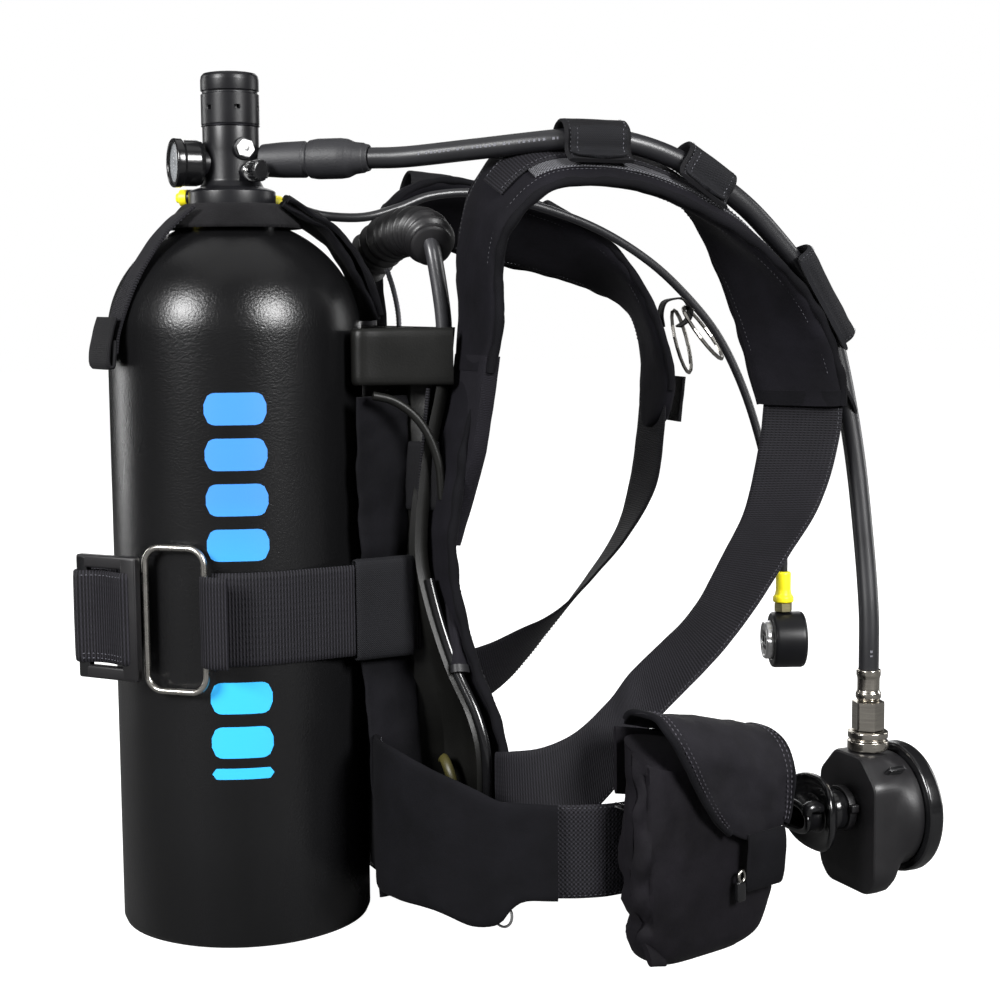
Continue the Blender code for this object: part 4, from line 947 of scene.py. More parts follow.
def keeper(name, centre, along, up, length, inner, wall, look, flange=9.0, drop=0.55, lean=0.0):
    """The path of a band of cloth arched over a hose and lying down on the pad on both sides: returns its Ribbon
    and the side its outer face is on.
    """
    along = Vector(along).normalized()
    up = (Vector(up) - along * Vector(up).dot(along)).normalized()
    across = along.cross(up)
    low = -inner * drop
    outline = [(inner + flange, low - flange * 0.18), (inner + flange * 0.5, low - 0.4), (inner + 1.6,
            low + 1.4)]
    outline += [(math.cos(math.pi * k / 14) * inner,
                 math.sin(math.pi * k / 14) * inner * 1.04) for k in range(15)]
    outline += [(-inner - 1.6, low + 1.4), (-inner - flange * 0.5, low - 0.4), (-inner - flange,
            low - flange * 0.18)]
    stations = [(tuple(Vector(centre) + across * a + up * b), tuple(along), length) for a, b in outline]
    ribbon = Ribbon(stations, 1.2)
    sign = 1 if ribbon.normal(ribbon.length / 2).dot(up) > 0 else -1
    return ribbon, sign


def make_near_shoulder():
    ribbon = Ribbon(PAD_RIGHT, 3.5)
    sign = 1 if ribbon.normal(ribbon.length * 0.4).z > 0 else -1
    pad = strap("near_pad", ribbon, 10.5, "pad", 7, 14, stands_for="shoulder_pad_right", wobble=0.9, seed=1)
    for number, v in enumerate((-0.99, 0.99)):
        piping(f"near_pad_piping_{number}", ribbon, v, 0, 2.5, "lining", seed=number * 11)
        strap_stitch(f"near_pad_stitch_{number}", ribbon, v * 0.8, sign * 4.6, 60, ribbon.length - 20)
        strap_stitch(f"near_pad_inner_stitch_{number}", ribbon, v * 0.8, -sign * 4.6, 60, ribbon.length - 20)
    strap("near_pad_mesh", ribbon, 1.6, "mesh", lift=sign * 5.2, low=112, high=ribbon.length - 118,
          narrow=lambda t: 0.74)
    strap("near_pad_webbing", ribbon, 2.0, "web", lift=sign * 6.4, low=96, high=ribbon.length - 2,
          narrow=lambda t: 0.42, wobble=0.3)
    for number, v in enumerate((-0.36, 0.36)):
        strap_stitch(f"near_webbing_stitch_{number}", ribbon, v, sign * 7.6, 100, ribbon.length - 6)
    web = Ribbon((((299.3, -112.8, 300), (0.5, -0.86, 0), 48),) + WEB_RIGHT, 3)
    strap("near_webbing", web, 2.0, "web", stands_for="shoulder_webbing_right", wobble=0.35, seed=4)
    strap_stitch("near_web_edge", web, 0.93, 1.1, 2, web.length - 2)
    strap_stitch("near_web_edge_2", web, -0.93, -1.1, 2, web.length - 2)
    end = Ribbon(PAD_RIGHT, 3.5)
    strap("near_pad_hem", end, 11.4, "lining", 7, 12, low=end.length - 12, high=end.length + 1, wobble=0.5,
          narrow=lambda t: 1.02)


def make_pad_roots():
    """The pads run on down behind the back cushion."""
    for side, label in ((-1, "near"), (1, "far")):
        root = [((98, side * 64, 214), (0, side, 0), 26), ((101, side * 71, 238), (0, side, 0), 34),
                ((104, side * 79, 262), (0, side, 0), 40), ((107, side * 83, 288), (0, side, 0), 42),
                ((109.5, side * 86, 318), (0, side, 0), 45)]
        strap(f"{label}_pad_root", Ribbon(root, 3), 10.6, "canvas", wobble=0.6, seed=70 + side)


def make_far_shoulder():
    ribbon = Ribbon(PAD_LEFT, 3.5)
    sign = 1 if ribbon.normal(ribbon.length * 0.4).z > 0 else -1
    pad = strap("far_pad", ribbon, 10.5, "pad", 7, 14, stands_for="shoulder_pad_left", wobble=0.9, seed=2,
                narrow=rounded_end(0.0001, 0.09))
    for number, v in enumerate((-0.99, 0.99)):
        piping(f"far_pad_piping_{number}", ribbon, v, 0, 2.3, "lining", high=ribbon.length - 26,
               seed=30 + number)
        strap_stitch(f"far_pad_stitch_{number}", ribbon, v * 0.8, -sign * 4.6, 60, ribbon.length - 60)
    strap("far_pad_webbing", ribbon, 2.0, "web", lift=sign * 6.2, low=90, high=ribbon.length - 4,
          narrow=lambda t: 0.42, wobble=0.3)
    web = Ribbon((((314.2, 91, 280), (0.1, 0.99, 0.04), 42),) + WEB_LEFT, 3)
    strap("far_webbing", web, 2.0, "web", stands_for="shoulder_webbing_left", wobble=0.35, seed=6)
    strap_stitch("far_web_edge", web, 0.93, 1.1, 2, web.length - 2)
    tab = [((327 + 0.8 * k, 86, 266 + 7.5 * k), (0.15, 1, 0), 26) for k in range(5)]
    strap("far_strap_tab", Ribbon(tab, 2.5), 2.6, "keeper", stands_for="strap_tab", wobble=0.5)
    for number, (spot, run, wide) in enumerate((((152, 84, 421), (1, 0, -0.1), 30), ((246, 84, 398), (0.88,
            0, -0.46), 36))):
        run = Vector(run).normalized()
        rise = Vector((0, -0.2, 1))
        rise = (rise - run * rise.dot(run)).normalized()
        arch = []
        for a, b in ((-8, -5), (-6, 1), (-2, 4.6), (3, 5.2), (7.5, 2.4), (11, -3), (12, -8)):
            arch.append((tuple(Vector(spot) + Vector((0, 1, 0)) * a + rise * b), tuple(run), wide))
        strap(f"far_keeper_{number}", Ribbon(arch, 1.6), 2.2, "keeper", wobble=0.5, seed=number)


def make_keepers():
    spots = (
        ("rear", (165, -114.5, 432.3), (1, -0.08, 0.0), (0, -0.35, 0.94), 38, "hose_keeper_rear"),
        ("front", (230, -119, 415), (0.84, -0.02, -0.54), (0.5, -0.35, 0.8), 34, "hose_keeper_front"),
    )
    for name, centre, along, up, length, node in spots:
        ribbon, sign = keeper(name, centre, along, up, length, 9.0, 2.2, "keeper")
        strap(f"keeper_{name}", ribbon, 2.2, "keeper", stands_for=node, wobble=0.5, seed=len(name))
        for number, v in enumerate((-0.84, 0.84)):
            strap_stitch(f"keeper_{name}_stitch_{number}", ribbon, v, sign * 1.2, 2, ribbon.length - 2,
                         "thread",
                         step=1.5, pitch=2.4, long=1.4, wide=0.45)
        flap = [station for station in ribbon.rows if station[3] < ribbon.length * 0.42]
        lifted = [(tuple(m + n * sign * (2.4 + 0.02 * run)), tuple(a), h * 2 * 0.86) for m, a, h, run,
                  n in flap[::3]]
        over = Ribbon(lifted, 1.4)
        strap(f"keeper_{name}_flap", over, 2.0, "sleeve_cloth", wobble=0.5, narrow=rounded_end(0.22, 0.0001))
        for number, v in enumerate((-0.8, 0.8)):
            strap_stitch(f"keeper_{name}_flap_stitch_{number}", over, v, sign * 1.15, 4, over.length - 1,
                         "thread",
                         step=1.5, pitch=2.4, long=1.4, wide=0.45)
    ribbon, sign = keeper("sleeve", (304.5, -118.3, 347), (0.52, -0.02, -0.85), (0.85, -0.1, 0.52), 58, 9.8,
                          2.4,
                          "sleeve_cloth", flange=11, drop=0.5)
    strap("keeper_sleeve", ribbon, 2.4, "sleeve_cloth", stands_for="hose_sleeve", wobble=1.0, seed=9)
    for number, v in enumerate((-0.93, -0.88, 0.93)):
        strap_stitch(f"keeper_sleeve_stitch_{number}", ribbon, v, sign * 1.35, 2, ribbon.length - 2,
                     "dark_thread",
                     step=1.5)
    tag = [((300 + 5.5 * k, -124, 327 - 9.5 * k), (-0.1, -1, 0.0), 15) for k in range(6)]
    strap("sleeve_tag", Ribbon(tag, 2.0), 2.4, "keeper", wobble=0.5, narrow=rounded_end(0.0001, 0.2))


def make_rings():
    loop = []
    for a, b in ((-6.5, -9), (-7.5, -1), (-5, 7), (3, 9.5), (11, 9.2), (14.8, 4), (13.5, -4), (6, -9)):
        loop.append(((324 + a, 84.5, 338 + b), (0.25, 0.97, 0), 15))
    strap("ring_loop", Ribbon(loop, 1.4), 1.3, "keeper", wobble=0.4)


make_near_shoulder()
make_pad_roots()
make_far_shoulder()
make_keepers()
make_rings()


# ---------------------------------------------------------------- cam band, ring, buckle and sleeve
def band_path():
    slot_x, slot_y = SLOT
    tangent = math.atan2(slot_y, slot_x) + math.acos(BAND_R / math.hypot(slot_x, slot_y))
    start = math.radians(118.5)
    points = []
    for k in range(17):
        angle = -(start + (tangent - start) * k / 16)
        points.append((BAND_R * math.cos(angle), BAND_R * math.sin(angle)))
    points += [(slot_x, -slot_y), (slot_x + 2.6, -slot_y + 6), (slot_x + 2.8, -30), (slot_x + 2.8, 0),
               (slot_x + 2.8, 30), (slot_x + 2.6, slot_y - 6), (slot_x, slot_y)]
    finish = math.radians(188)
    for k in range(40):
        angle = tangent + (finish - tangent) * k / 39
        points.append((BAND_R * math.cos(angle), BAND_R * math.sin(angle)))
    return points


def make_cam_band():
    ribbon = Ribbon([((x, y, BAND_Z), (0, 0, 1), 50) for x, y in band_path()], 3)
    strap("band_webbing", ribbon, 2.0, "band", stands_for="cam_band")
    near, far = Vector((-39.0, -66.0)), Vector((-64.5, -41.5))
    run = (far - near).normalized()
    width, half, corner = (far - near).length, 38.5, 9.0
    outline = []
    for cx, cz, begin in ((width - corner, half - corner, 0), (corner, half - corner, 90),
                          (corner, corner - half, 180), (width - corner, corner - half, 270)):
        for k in range(13):
            angle = math.radians(begin + 7.5 * k)
            outline.append((cx + corner * math.cos(angle), cz + corner * math.sin(angle)))
    points = [(near.x + run.x * a, near.y + run.y * a, BAND_Z + b) for a, b in outline]
    tube("band_ring", points, 1.75, "steel", "ring", "cam_ring", 16, True)

    fold = []
    for a, lift in ((14, 3.6), (8, 4.2), (3.5, 4.2), (0.6, 3.2), (-2.2, 0), (0.6, -3.0)):
        out = Vector((-run.y, run.x)) * -1
        out = Vector((near.x, near.y)).normalized()
        spot = near - run * a + out * lift if lift > 0 else near - run * a + out * lift
        fold.append(((spot.x, spot.y, BAND_Z), (0, 0, 1), 49))
    strap("band_fold", Ribbon(fold, 1.2), 2.0, "band", wobble=0.2)

    start, end = Vector((-69.0, -43.5)), Vector((-93.5, -12.5))
    run = (end - start).normalized()
    length = (end - start).length
    out = Vector((run.y, -run.x))
    if out.dot(start) < 0:
        out = -out
    turn = Matrix.Rotation(math.atan2(run.y, run.x), 4, "Z")
    middle = (start + end) / 2
    for name, size, shift, z in (
            ("buckle_top", (length, 5.4, 7.0), 0, 30.0), ("buckle_foot", (length, 5.4, 7.0), 0, -30.0),
            ("buckle_near", (10, 5.6, 66), -length / 2 + 5, 0), ("buckle_far", (7, 5.6, 66),
                                                                 length / 2 - 3.5, 0)):
        spot = middle + run * shift
        rounded_block(name, size, (spot.x, spot.y, BAND_Z + z), "gloss" if "far" in name else "moulded",
                      turn, 1.3,
                      "buckle", "cam_buckle" if name == "buckle_near" else ())
    web = []
    for a, lift in ((-16, 1.2), (-12.5, 3.4), (-7, 2.2), (0, 0.4), (8, 0.2), (13.5, 2.6), (17, 4.2), (21.5,
            1.5),
                    (19, -2.6), (13, -3.6), (4, -4.2)):
        spot = middle + run * a + out * lift
        web.append(((spot.x, spot.y, BAND_Z), (0, 0, 1), 50))
    ribbon = Ribbon(web, 1.5)
    strap("buckle_webbing", ribbon, 2.2, "band", body="buckle", wobble=0.25)
    sign = 1 if ribbon.normal(20).dot(Vector((*out, 0))) > 0 else -1
    for number, v in enumerate((-0.9, 0.9, -0.8)):
        strap_stitch(f"buckle_stitch_{number}", ribbon, v, sign * 1.2, 6, 34, "thread", step=1.5, pitch=2.6,
                     long=1.5, wide=0.5, body="buckle")
    link = []
    for x, y in ((-93.6, -13.0), (-91.5, -6.5), (-84.5, -3.2), (-76.5, -4.0), (-71.9, -8.0)):
        link.append(((x, y, BAND_Z), (0, 0, 1), 49))
    strap("band_end", Ribbon(link, 1.8), 2.0, "band", wobble=0.3)

    slot_x, slot_y = SLOT
    tangent = -(math.atan2(slot_y, slot_x) + math.acos(BAND_R / math.hypot(slot_x, slot_y)))
    leave = Vector((BAND_R * math.cos(tangent), BAND_R * math.sin(tangent)))
    run = Vector((slot_x, -slot_y)) - leave
    out = Vector((run.y, -run.x)).normalized()
    middle = leave + run * 0.72
    run.normalize()
    loop = []
    for k in range(24):
        angle = math.tau * k / 24
        a, b = math.cos(angle), math.sin(angle)
        tall = math.copysign(abs(a) ** 0.25, a) * 27.2
        deep = math.copysign(abs(b) ** 0.5, b) * 3.0
        spot = middle + out * deep
        loop.append((spot.x, spot.y, BAND_Z + tall))
    loop.append(loop[0])
    stations = [(p, (run.x, run.y, 0), 36) for p in loop]
    strap("sleeve_on_band", Ribbon(stations, 2.0), 1.6, "sleeve_cloth", stands_for="band_sleeve", wobble=0.25)


make_cam_band()


# ---------------------------------------------------------------- lofts through rings of points
def loft(name, rings, look, body="pack", stands_for=(), loop=False, sharp=45, uv_scale=1.0):
    """A skin through equal rings of points, capped at both ends unless it closes on itself."""
    size = len(rings[0])
    verts = [Vector(p) for ring in rings for p in ring]
    faces = []
    for i in range(len(rings) if loop else len(rings) - 1):
        a, b = i * size, (i + 1) % len(rings) * size
        for k in range(size):
            n = (k + 1) % size
            faces.append((a + k, a + n, b + n, b + k))
    if not loop:
        faces += [tuple(range(size - 1, -1, -1)), tuple(range((len(rings) - 1) * size, len(rings) * size))]
    uv, run = [], [0.0] * size
    for i, ring in enumerate(rings):
        around = 0.0
        for k in range(size):
            if i:
                run[k] += (Vector(ring[k]) - Vector(rings[i - 1][k])).length
            if k:
                around += (Vector(ring[k]) - Vector(ring[k - 1])).length
            uv.append((around * uv_scale, run[k] * uv_scale))
    return build(name, verts, faces, look, body, stands_for, sharp, uv)


def refine(rows, count):
    """Catmull-Rom interpolation of rows of numbers, with count steps between each two."""
    ends = [rows[0]] + list(rows) + [rows[-1]]
    out = [list(rows[0])]
    for i in range(1, len(ends) - 2):
        group = ends[i - 1:i + 3]
        for k in range(1, count + 1):
            t = k / count
            out.append([0.5 * (2 * b + (c - a) * t + (2 * a - 5 * b + 4 * c - d) * t ** 2
                               + (3 * b - a - 3 * c + d) * t ** 3) for a, b, c, d in zip(*group)])
    return out


# ---------------------------------------------------------------- back plate, saddle, back pad and handle
def make_plate():
    rows = refine(PLATE_STATIONS, 5)
    rings = []
    for z, flange, half in rows:
        side = [(flange - 6.5, half + 0.4), (flange - 4, half), (flange - 1, half - 2), (flange, half - 8),
                (flange - 0.2, half - 16), (flange - 1, 68), (flange - 5, 62), (83.4, 57.5), (81.2,
                        52), (81, 42),
                (81, 20)]
        side = [(x, min(y, half + 0.4)) for x, y in side]
        line = [(x, -y) for x, y in side] + [(81, 0)] + [(x, y) for x, y in side[::-1]]
        front = [(x + 1.5, y, z) for x, y in line]
        back = [(x - 1.5, y, z) for x, y in line]
        rings.append(back + front[::-1])
    loft("plate_shell", rings, "plate", stands_for="back_plate", sharp=32)
    for side in (-1, 1):
        edge = [(flange - 2.2, side * (half + 1.2), z) for z, flange, half in rows if z < 200]
        tube(f"plate_rim_{side + 1}", edge, 2.7, "gloss", around=16)
    bottom = [(94.5, -70.5, 14.5), (99, -62, 13.2), (93, -55, 12.9), (84, -48, 12.6), (82, -20, 12.4), (82,
            0, 12.4),
              (82, 20, 12.4), (84, 48, 12.6), (93, 55, 12.9), (99, 62, 13.2), (94.5, 70.5, 14.5)]
    tube("plate_foot", smooth_route(bottom, 4), 2.2, "plate", around=14)
    for side in (-1, 1):
        veil = [(60.5, 296), (59, 250), (57, 216), (55, 203), (55, 160), (58, 146), (65, 112), (70, 64),
                (73, 22)]
        stations = [((64 + (296 - z) * 0.012, side * y, z), (0.97, side * -0.24, 0), 33) for y, z in veil]
        strap(f"side_cloth_{side + 1}", Ribbon(stations, 4), 2.6, "lining", 20, 16, wobble=2.2,
              seed=60 + side)
        curve = [(55, 70.6, 297), (66, 72.4, 294), (77, 74.6, 286), (85, 76.6, 274), (90, 78, 258), (91.5,
                78, 240)]
        tube(f"saddle_bead_{side + 1}", smooth_route([(x, side * y, z) for x, y, z in curve], 2), 2.4,
             "plate", around=16)
    for side in (-1, 1):
        rounded_block(f"plate_rib_{side + 1}", (4, 3.2, 96), (79.3, side * 30, 250), "plate", None, 1.4)

    wing = [(99.3, 77.2), (80, 70.6), (62, 65), (50.5, 62.2)]
    arc = [math.radians(-49 + 4.9 * k) for k in range(21)]
    line = [(x, -y) for x, y in wing] + [(75.2 * math.cos(a), 75.2 * math.sin(a)) for a in arc] + wing[::-1]
    ribbon = Ribbon([((x, y, 317.5), (0, 0, 1), 31) for x, y in line], 3)
    strap("saddle", ribbon, 3.2, "plate", edge=10, stands_for="tank_saddle", wobble=0.25,
          narrow=lambda t: 1.0 - 0.1 * math.sin(t * math.pi) ** 4)
    for name, points, radius in (
            ("near_roll", ((88, -56, 236), (91, -60, 222), (96, -72, 196), (97.5, -84, 168), (96, -92,
                    147)), 8.5),
            ("far_roll", ((88, 56, 236), (91, 60, 222), (96, 72, 196), (97.5, 84, 168), (96, 92, 147)), 8.5)):
        path = smooth_route(points, 3)
        roll = tube(name, path, lambda t: 5.5 + 3.6 * t + 0.5 * math.sin(t * 19), "canvas", around=26,
                    flat=0.55)
        tube(name + "_hem", [path[-1] + (path[-1] - path[-2]) * 0.6,
                             path[-1] - (path[-1] - path[-2]) * 0.9], 9.6,
             "rubber", around=26, flat=0.55)
    for side in (-1, 1):
        web = [((90.5, side * 64, 300), (0.5, side * -0.85, 0), 15), ((88, side * 63, 272), (0.5,
                side * -0.85, 0), 15),
               ((85.5, side * 61, 240), (0.5, side * -0.85, 0), 15), ((84.5, side * 62, 214), (0.5,
                       side * -0.85, 0), 14)]
        strap(f"plate_webbing_{side + 1}", Ribbon(web, 3), 2.0, "web", lift=0.0)
        loop = [((79.0, side * 40, 252), (0, 0, 1), 38), ((79.0, side * 51, 252), (0, 0, 1), 38),
                ((81.5, side * 60, 252), (0, 0, 1), 38), ((87, side * 68.5, 252), (0, 0, 1), 38),
                ((92, side * 73, 252), (0, 0, 1), 38)]
        strap(f"plate_keeper_{side + 1}", Ribbon(loop, 1.6), 2.4, "keeper", wobble=0.5, seed=side)
    clip = [(93.5, -67, 93), (92.5, -73, 95), (92.3, -79, 92), (93, -83.5, 86), (95, -86, 79)]
    tube("small_clip", smooth_route(clip, 1.5), lambda t: 2.2 + 0.9 * math.sin(t * math.pi), "clip",
         around=12, flat=0.6)


def make_back_pad():
    stations = []
    for z, half in BACK_PAD_STATIONS:
        flange = next((b[1] for a, b in zip(PLATE_STATIONS, PLATE_STATIONS[1:]) if z <= b[0]), 104)
        for a, b in zip(PLATE_STATIONS, PLATE_STATIONS[1:]):
            if a[0] <= max(z, 14) <= b[0]:
                t = (max(z, 14) - a[0]) / (b[0] - a[0])
                flange = a[1] + (b[1] - a[1]) * t
        stations.append(((flange + 7.7, 0, z), (0, 1, 0), half * 2))
    ribbon = Ribbon(stations, 4)
    sign = 1 if ribbon.normal(100).x > 0 else -1
    pad = strap("back_cushion", ribbon, 9.5, "pad", 9, 36, stands_for="back_pad", wobble=1.0, seed=12)
    for number, v in enumerate((-1, 1)):
        piping(f"back_pad_piping_{number}", ribbon, v, 0, 2.8, "lining", seed=50 + number)
        strap_stitch(f"back_pad_stitch_{number}", ribbon, v * 0.93, sign * 4.9, 6, ribbon.length - 6,
                     pitch=3.2, long=2.1)
    for number, (low, high) in enumerate(((20, 98), (118, 196), (216, 286))):
        for side in (-1, 1):
            cushion = strap(f"spacer_cushion_{number}_{side + 1}", Ribbon([
                (tuple(Vector(m) + Vector((0, side * h * 0.46, 0))), (0, 1, 0), h * 0.72)
                for m, a, h, r, n in ribbon.rows[::2] if low - 6 <= r <= high + 6], 3),
                7.5, "dark_mesh", 2.6, 18, lift=sign * 4.2, wobble=0.6, seed=number + side,
                narrow=rounded_end(0.16, 0.16))


def make_handle():
    feet = (101.0, 60.0, 336.0)
    core = [(feet[0], -feet[1], feet[2] - 16), (feet[0], -feet[1], feet[2]), (feet[0] - 1.5, -feet[1] + 2,
            feet[2] + 19)]
    core += list(GRIP_PATH)
    core += [(feet[0] - 3, feet[1] - 5, feet[2] + 18), feet, (feet[0], feet[1], feet[2] - 16)]
    tube("handle_bar", smooth_route(core, 3), 5.4, "satin", stands_for="carry_handle", around=28, flat=0.8)
    path = smooth_route(GRIP_PATH, 0.55)
    ribs = 11

    def rib(t):
        swell = 0.5 + 0.5 * math.cos(math.tau * ribs * t + 0.6)
        end = min(1.0, min(t, 1 - t) / 0.012)
        return (11.0 + 3.4 * swell ** 2.2) * (0.72 + 0.28 * end)

    tube("ribbed_grip", path, rib, "moulded", stands_for="handle_grip", around=44)
    for number, shift in enumerate((-1.4, 1.4)):
        cord = [(96, 14 + shift, 366), (98, 9 + shift, 354), (100, 7 + shift, 340), (100, 6 + shift, 326)]
        points = smooth_route(cord, 0.8)
        tube(f"loop_cord_{number}", points, lambda t: 1.05 + 0.22 * math.sin(t * 130), "thread", around=8)


make_plate()
make_back_pad()
make_handle()


# ---------------------------------------------------------------- waist belt and its hip fittings
def make_belts():
    ribbon = Ribbon(BELT_RIGHT, 3)
    strap("belt_right", ribbon, 2.2, "belt", stands_for="waist_belt_right", wobble=0.3, seed=21)
    for number, v in enumerate((-0.93, 0.93)):
        strap_stitch(f"belt_right_stitch_{number}", ribbon, v, 1.2 if ribbon.normal(60).y > 0 else -1.2, 2,
                     ribbon.length - 2, pitch=3.0)
        strap_stitch(f"belt_right_stitch_out_{number}", ribbon, v, -1.2 if ribbon.normal(60).y > 0 else 1.2,
                     2,
                     ribbon.length - 2, pitch=3.0)
    cover = (((66, -28, 70), 78), ((58, -60, 70), 82), ((50, -84, 70.5), 84), ((52.5, -105.5, 70), 82),
             ((64.3, -128.3, 65.8), 76),
             ((79, -142.9, 59), 74), ((89.6, -152.5, 57), 66), ((96, -156, 60.5), 57), ((103, -159.5, 62.5),
                     52),
             ((118, -165.8, 62), 51))
    ribbon = Ribbon([(spot, (0, 0, -1), wide) for spot, wide in cover], 3)
    wing = strap("hip_wing", ribbon, 4.2, "lining", 14, 16, wobble=0.7, seed=8)
    out = 2.4 if ribbon.normal(60).y < 0 else -2.4
    strap_stitch("hip_wing_stitch", ribbon, -0.95, out, 20, ribbon.length - 2, "thread", step=1.5, pitch=2.4,
                 long=1.3, wide=0.5)
    strap_stitch("hip_wing_stitch_2", ribbon, 0.95, out, 20, ribbon.length - 2)
    mirrored = Ribbon([((x, -y + 2.2, z - 4), (0, 0, -1), wide) for (x, y, z), wide in cover[:5]], 3)
    wing = strap("hip_wing_left", mirrored, 4.2, "lining", 14, 16, wobble=0.7, seed=28,
                 narrow=rounded_end(0.0001, 0.2))
    flap = [((100, -84, 74), (0, 1, 0), 62), ((102, -88, 52), (0, 1, 0), 62), ((104, -90, 32), (0, 1, 0), 60),
            ((105, -91, 16), (0, 1, 0), 56), ((105, -92, 5), (0, 1, 0), 46)]
    wing = strap("lumbar_flap", Ribbon(flap, 3), 6.5, "lining", 5, 14, wobble=1.2, seed=18,
                 narrow=rounded_end(0.0001, 0.35))
    left = [((x, -y, z), (a, -b, c), w) for (x, y, z), (a, b, c), w in flap]
    wing = strap("lumbar_flap_left", Ribbon(left, 3), 6.5, "lining", 5, 14, wobble=1.2, seed=19,
                 narrow=rounded_end(0.0001, 0.35))
    ring = [(110 + 7.2 * math.cos(a) * 0.4, -112 + 7.2 * math.cos(a) * -0.9, 15 + 7.2 * math.sin(a))
            for a in (math.tau * k / 36 for k in range(36))]
    tube("hip_ring", ring, 0.75, "bright", cyclic=True, around=10)
    rod = [(150.5, -167.5, 84.5), (154, -168.5, 83.2), (158, -169.2, 81.6)]
    tube("belt_pin", rod, 1.5, "bright", around=12)
    ribbon = Ribbon(BELT_LEFT, 3)
    strap("belt_left", ribbon, 2.2, "belt", stands_for="waist_belt_left", wobble=0.3, seed=22)
    strap_stitch("belt_left_stitch", ribbon, 0.93, 1.2, 2, ribbon.length - 2, pitch=3.0)
    lean = Matrix.Rotation(math.radians(15), 4, "Z")
    rounded_block("socket_body", (24, 9, 52), (233.5, -141.3, 54.5), "moulded", lean, 2.4,
                  stands_for="buckle_socket")
    for number, z in enumerate((36, 73)):
        rounded_block(f"socket_window_{number}", (12, 9.8, 9), (236.5, -140.5, z), "gloss", lean, 1.2)
    lean = Matrix.Rotation(math.radians(-20), 4, "Z")
    rounded_block("plug_body", (17, 8, 50), (182.9, 141.8, 26.8), "moulded", lean, 2.2,
                  stands_for="buckle_plug")
    for number, z in enumerate((9.5, 26.8, 44)):
        rounded_block(f"plug_prong_{number}", (9, 4.4, 7.5 if number != 1 else 12), (191.2, 138.8, z),
                      "moulded", lean, 1.6)


make_belts()

# ---------------------------------------------------------------- pouch
POUCH_CORNER = (143.0, -171.0)
POUCH_TURN = math.radians(15)
POUCH = (
    (0.6, 50, 30, 16, 9), (9, 51, 44, 16, 14.5), (34, 52, 51, 16.5, 17), (70, 52, 52, 16.5, 17), (96, 52,
            51, 15.5, 15),
    (106, 52, 50, 14.5, 13.5),
)
FLAP = (
    (-2.0, 117, 14, 104), (0, 122, 14, 104), (6, 125, 14, 104), (20, 125, 14, 104), (31, 119, 13, 104),
    (36.5, 107, 19, 104), (37.2, 92, 30, 103), (37.2, 78, 42, 101), (36.5, 67, 56, 97), (36, 60, 66, 88),
)


def on_pouch(along, depth, z):
    c, s = math.cos(POUCH_TURN), math.sin(POUCH_TURN)
    return Vector((POUCH_CORNER[0] + along * c + depth * s, POUCH_CORNER[1] + along * s - depth * c, z))


def sloped(along, z):
    return z - 0.23 * min(1.0, max(0.0, (z - 60) / 45)) * (along - 52)


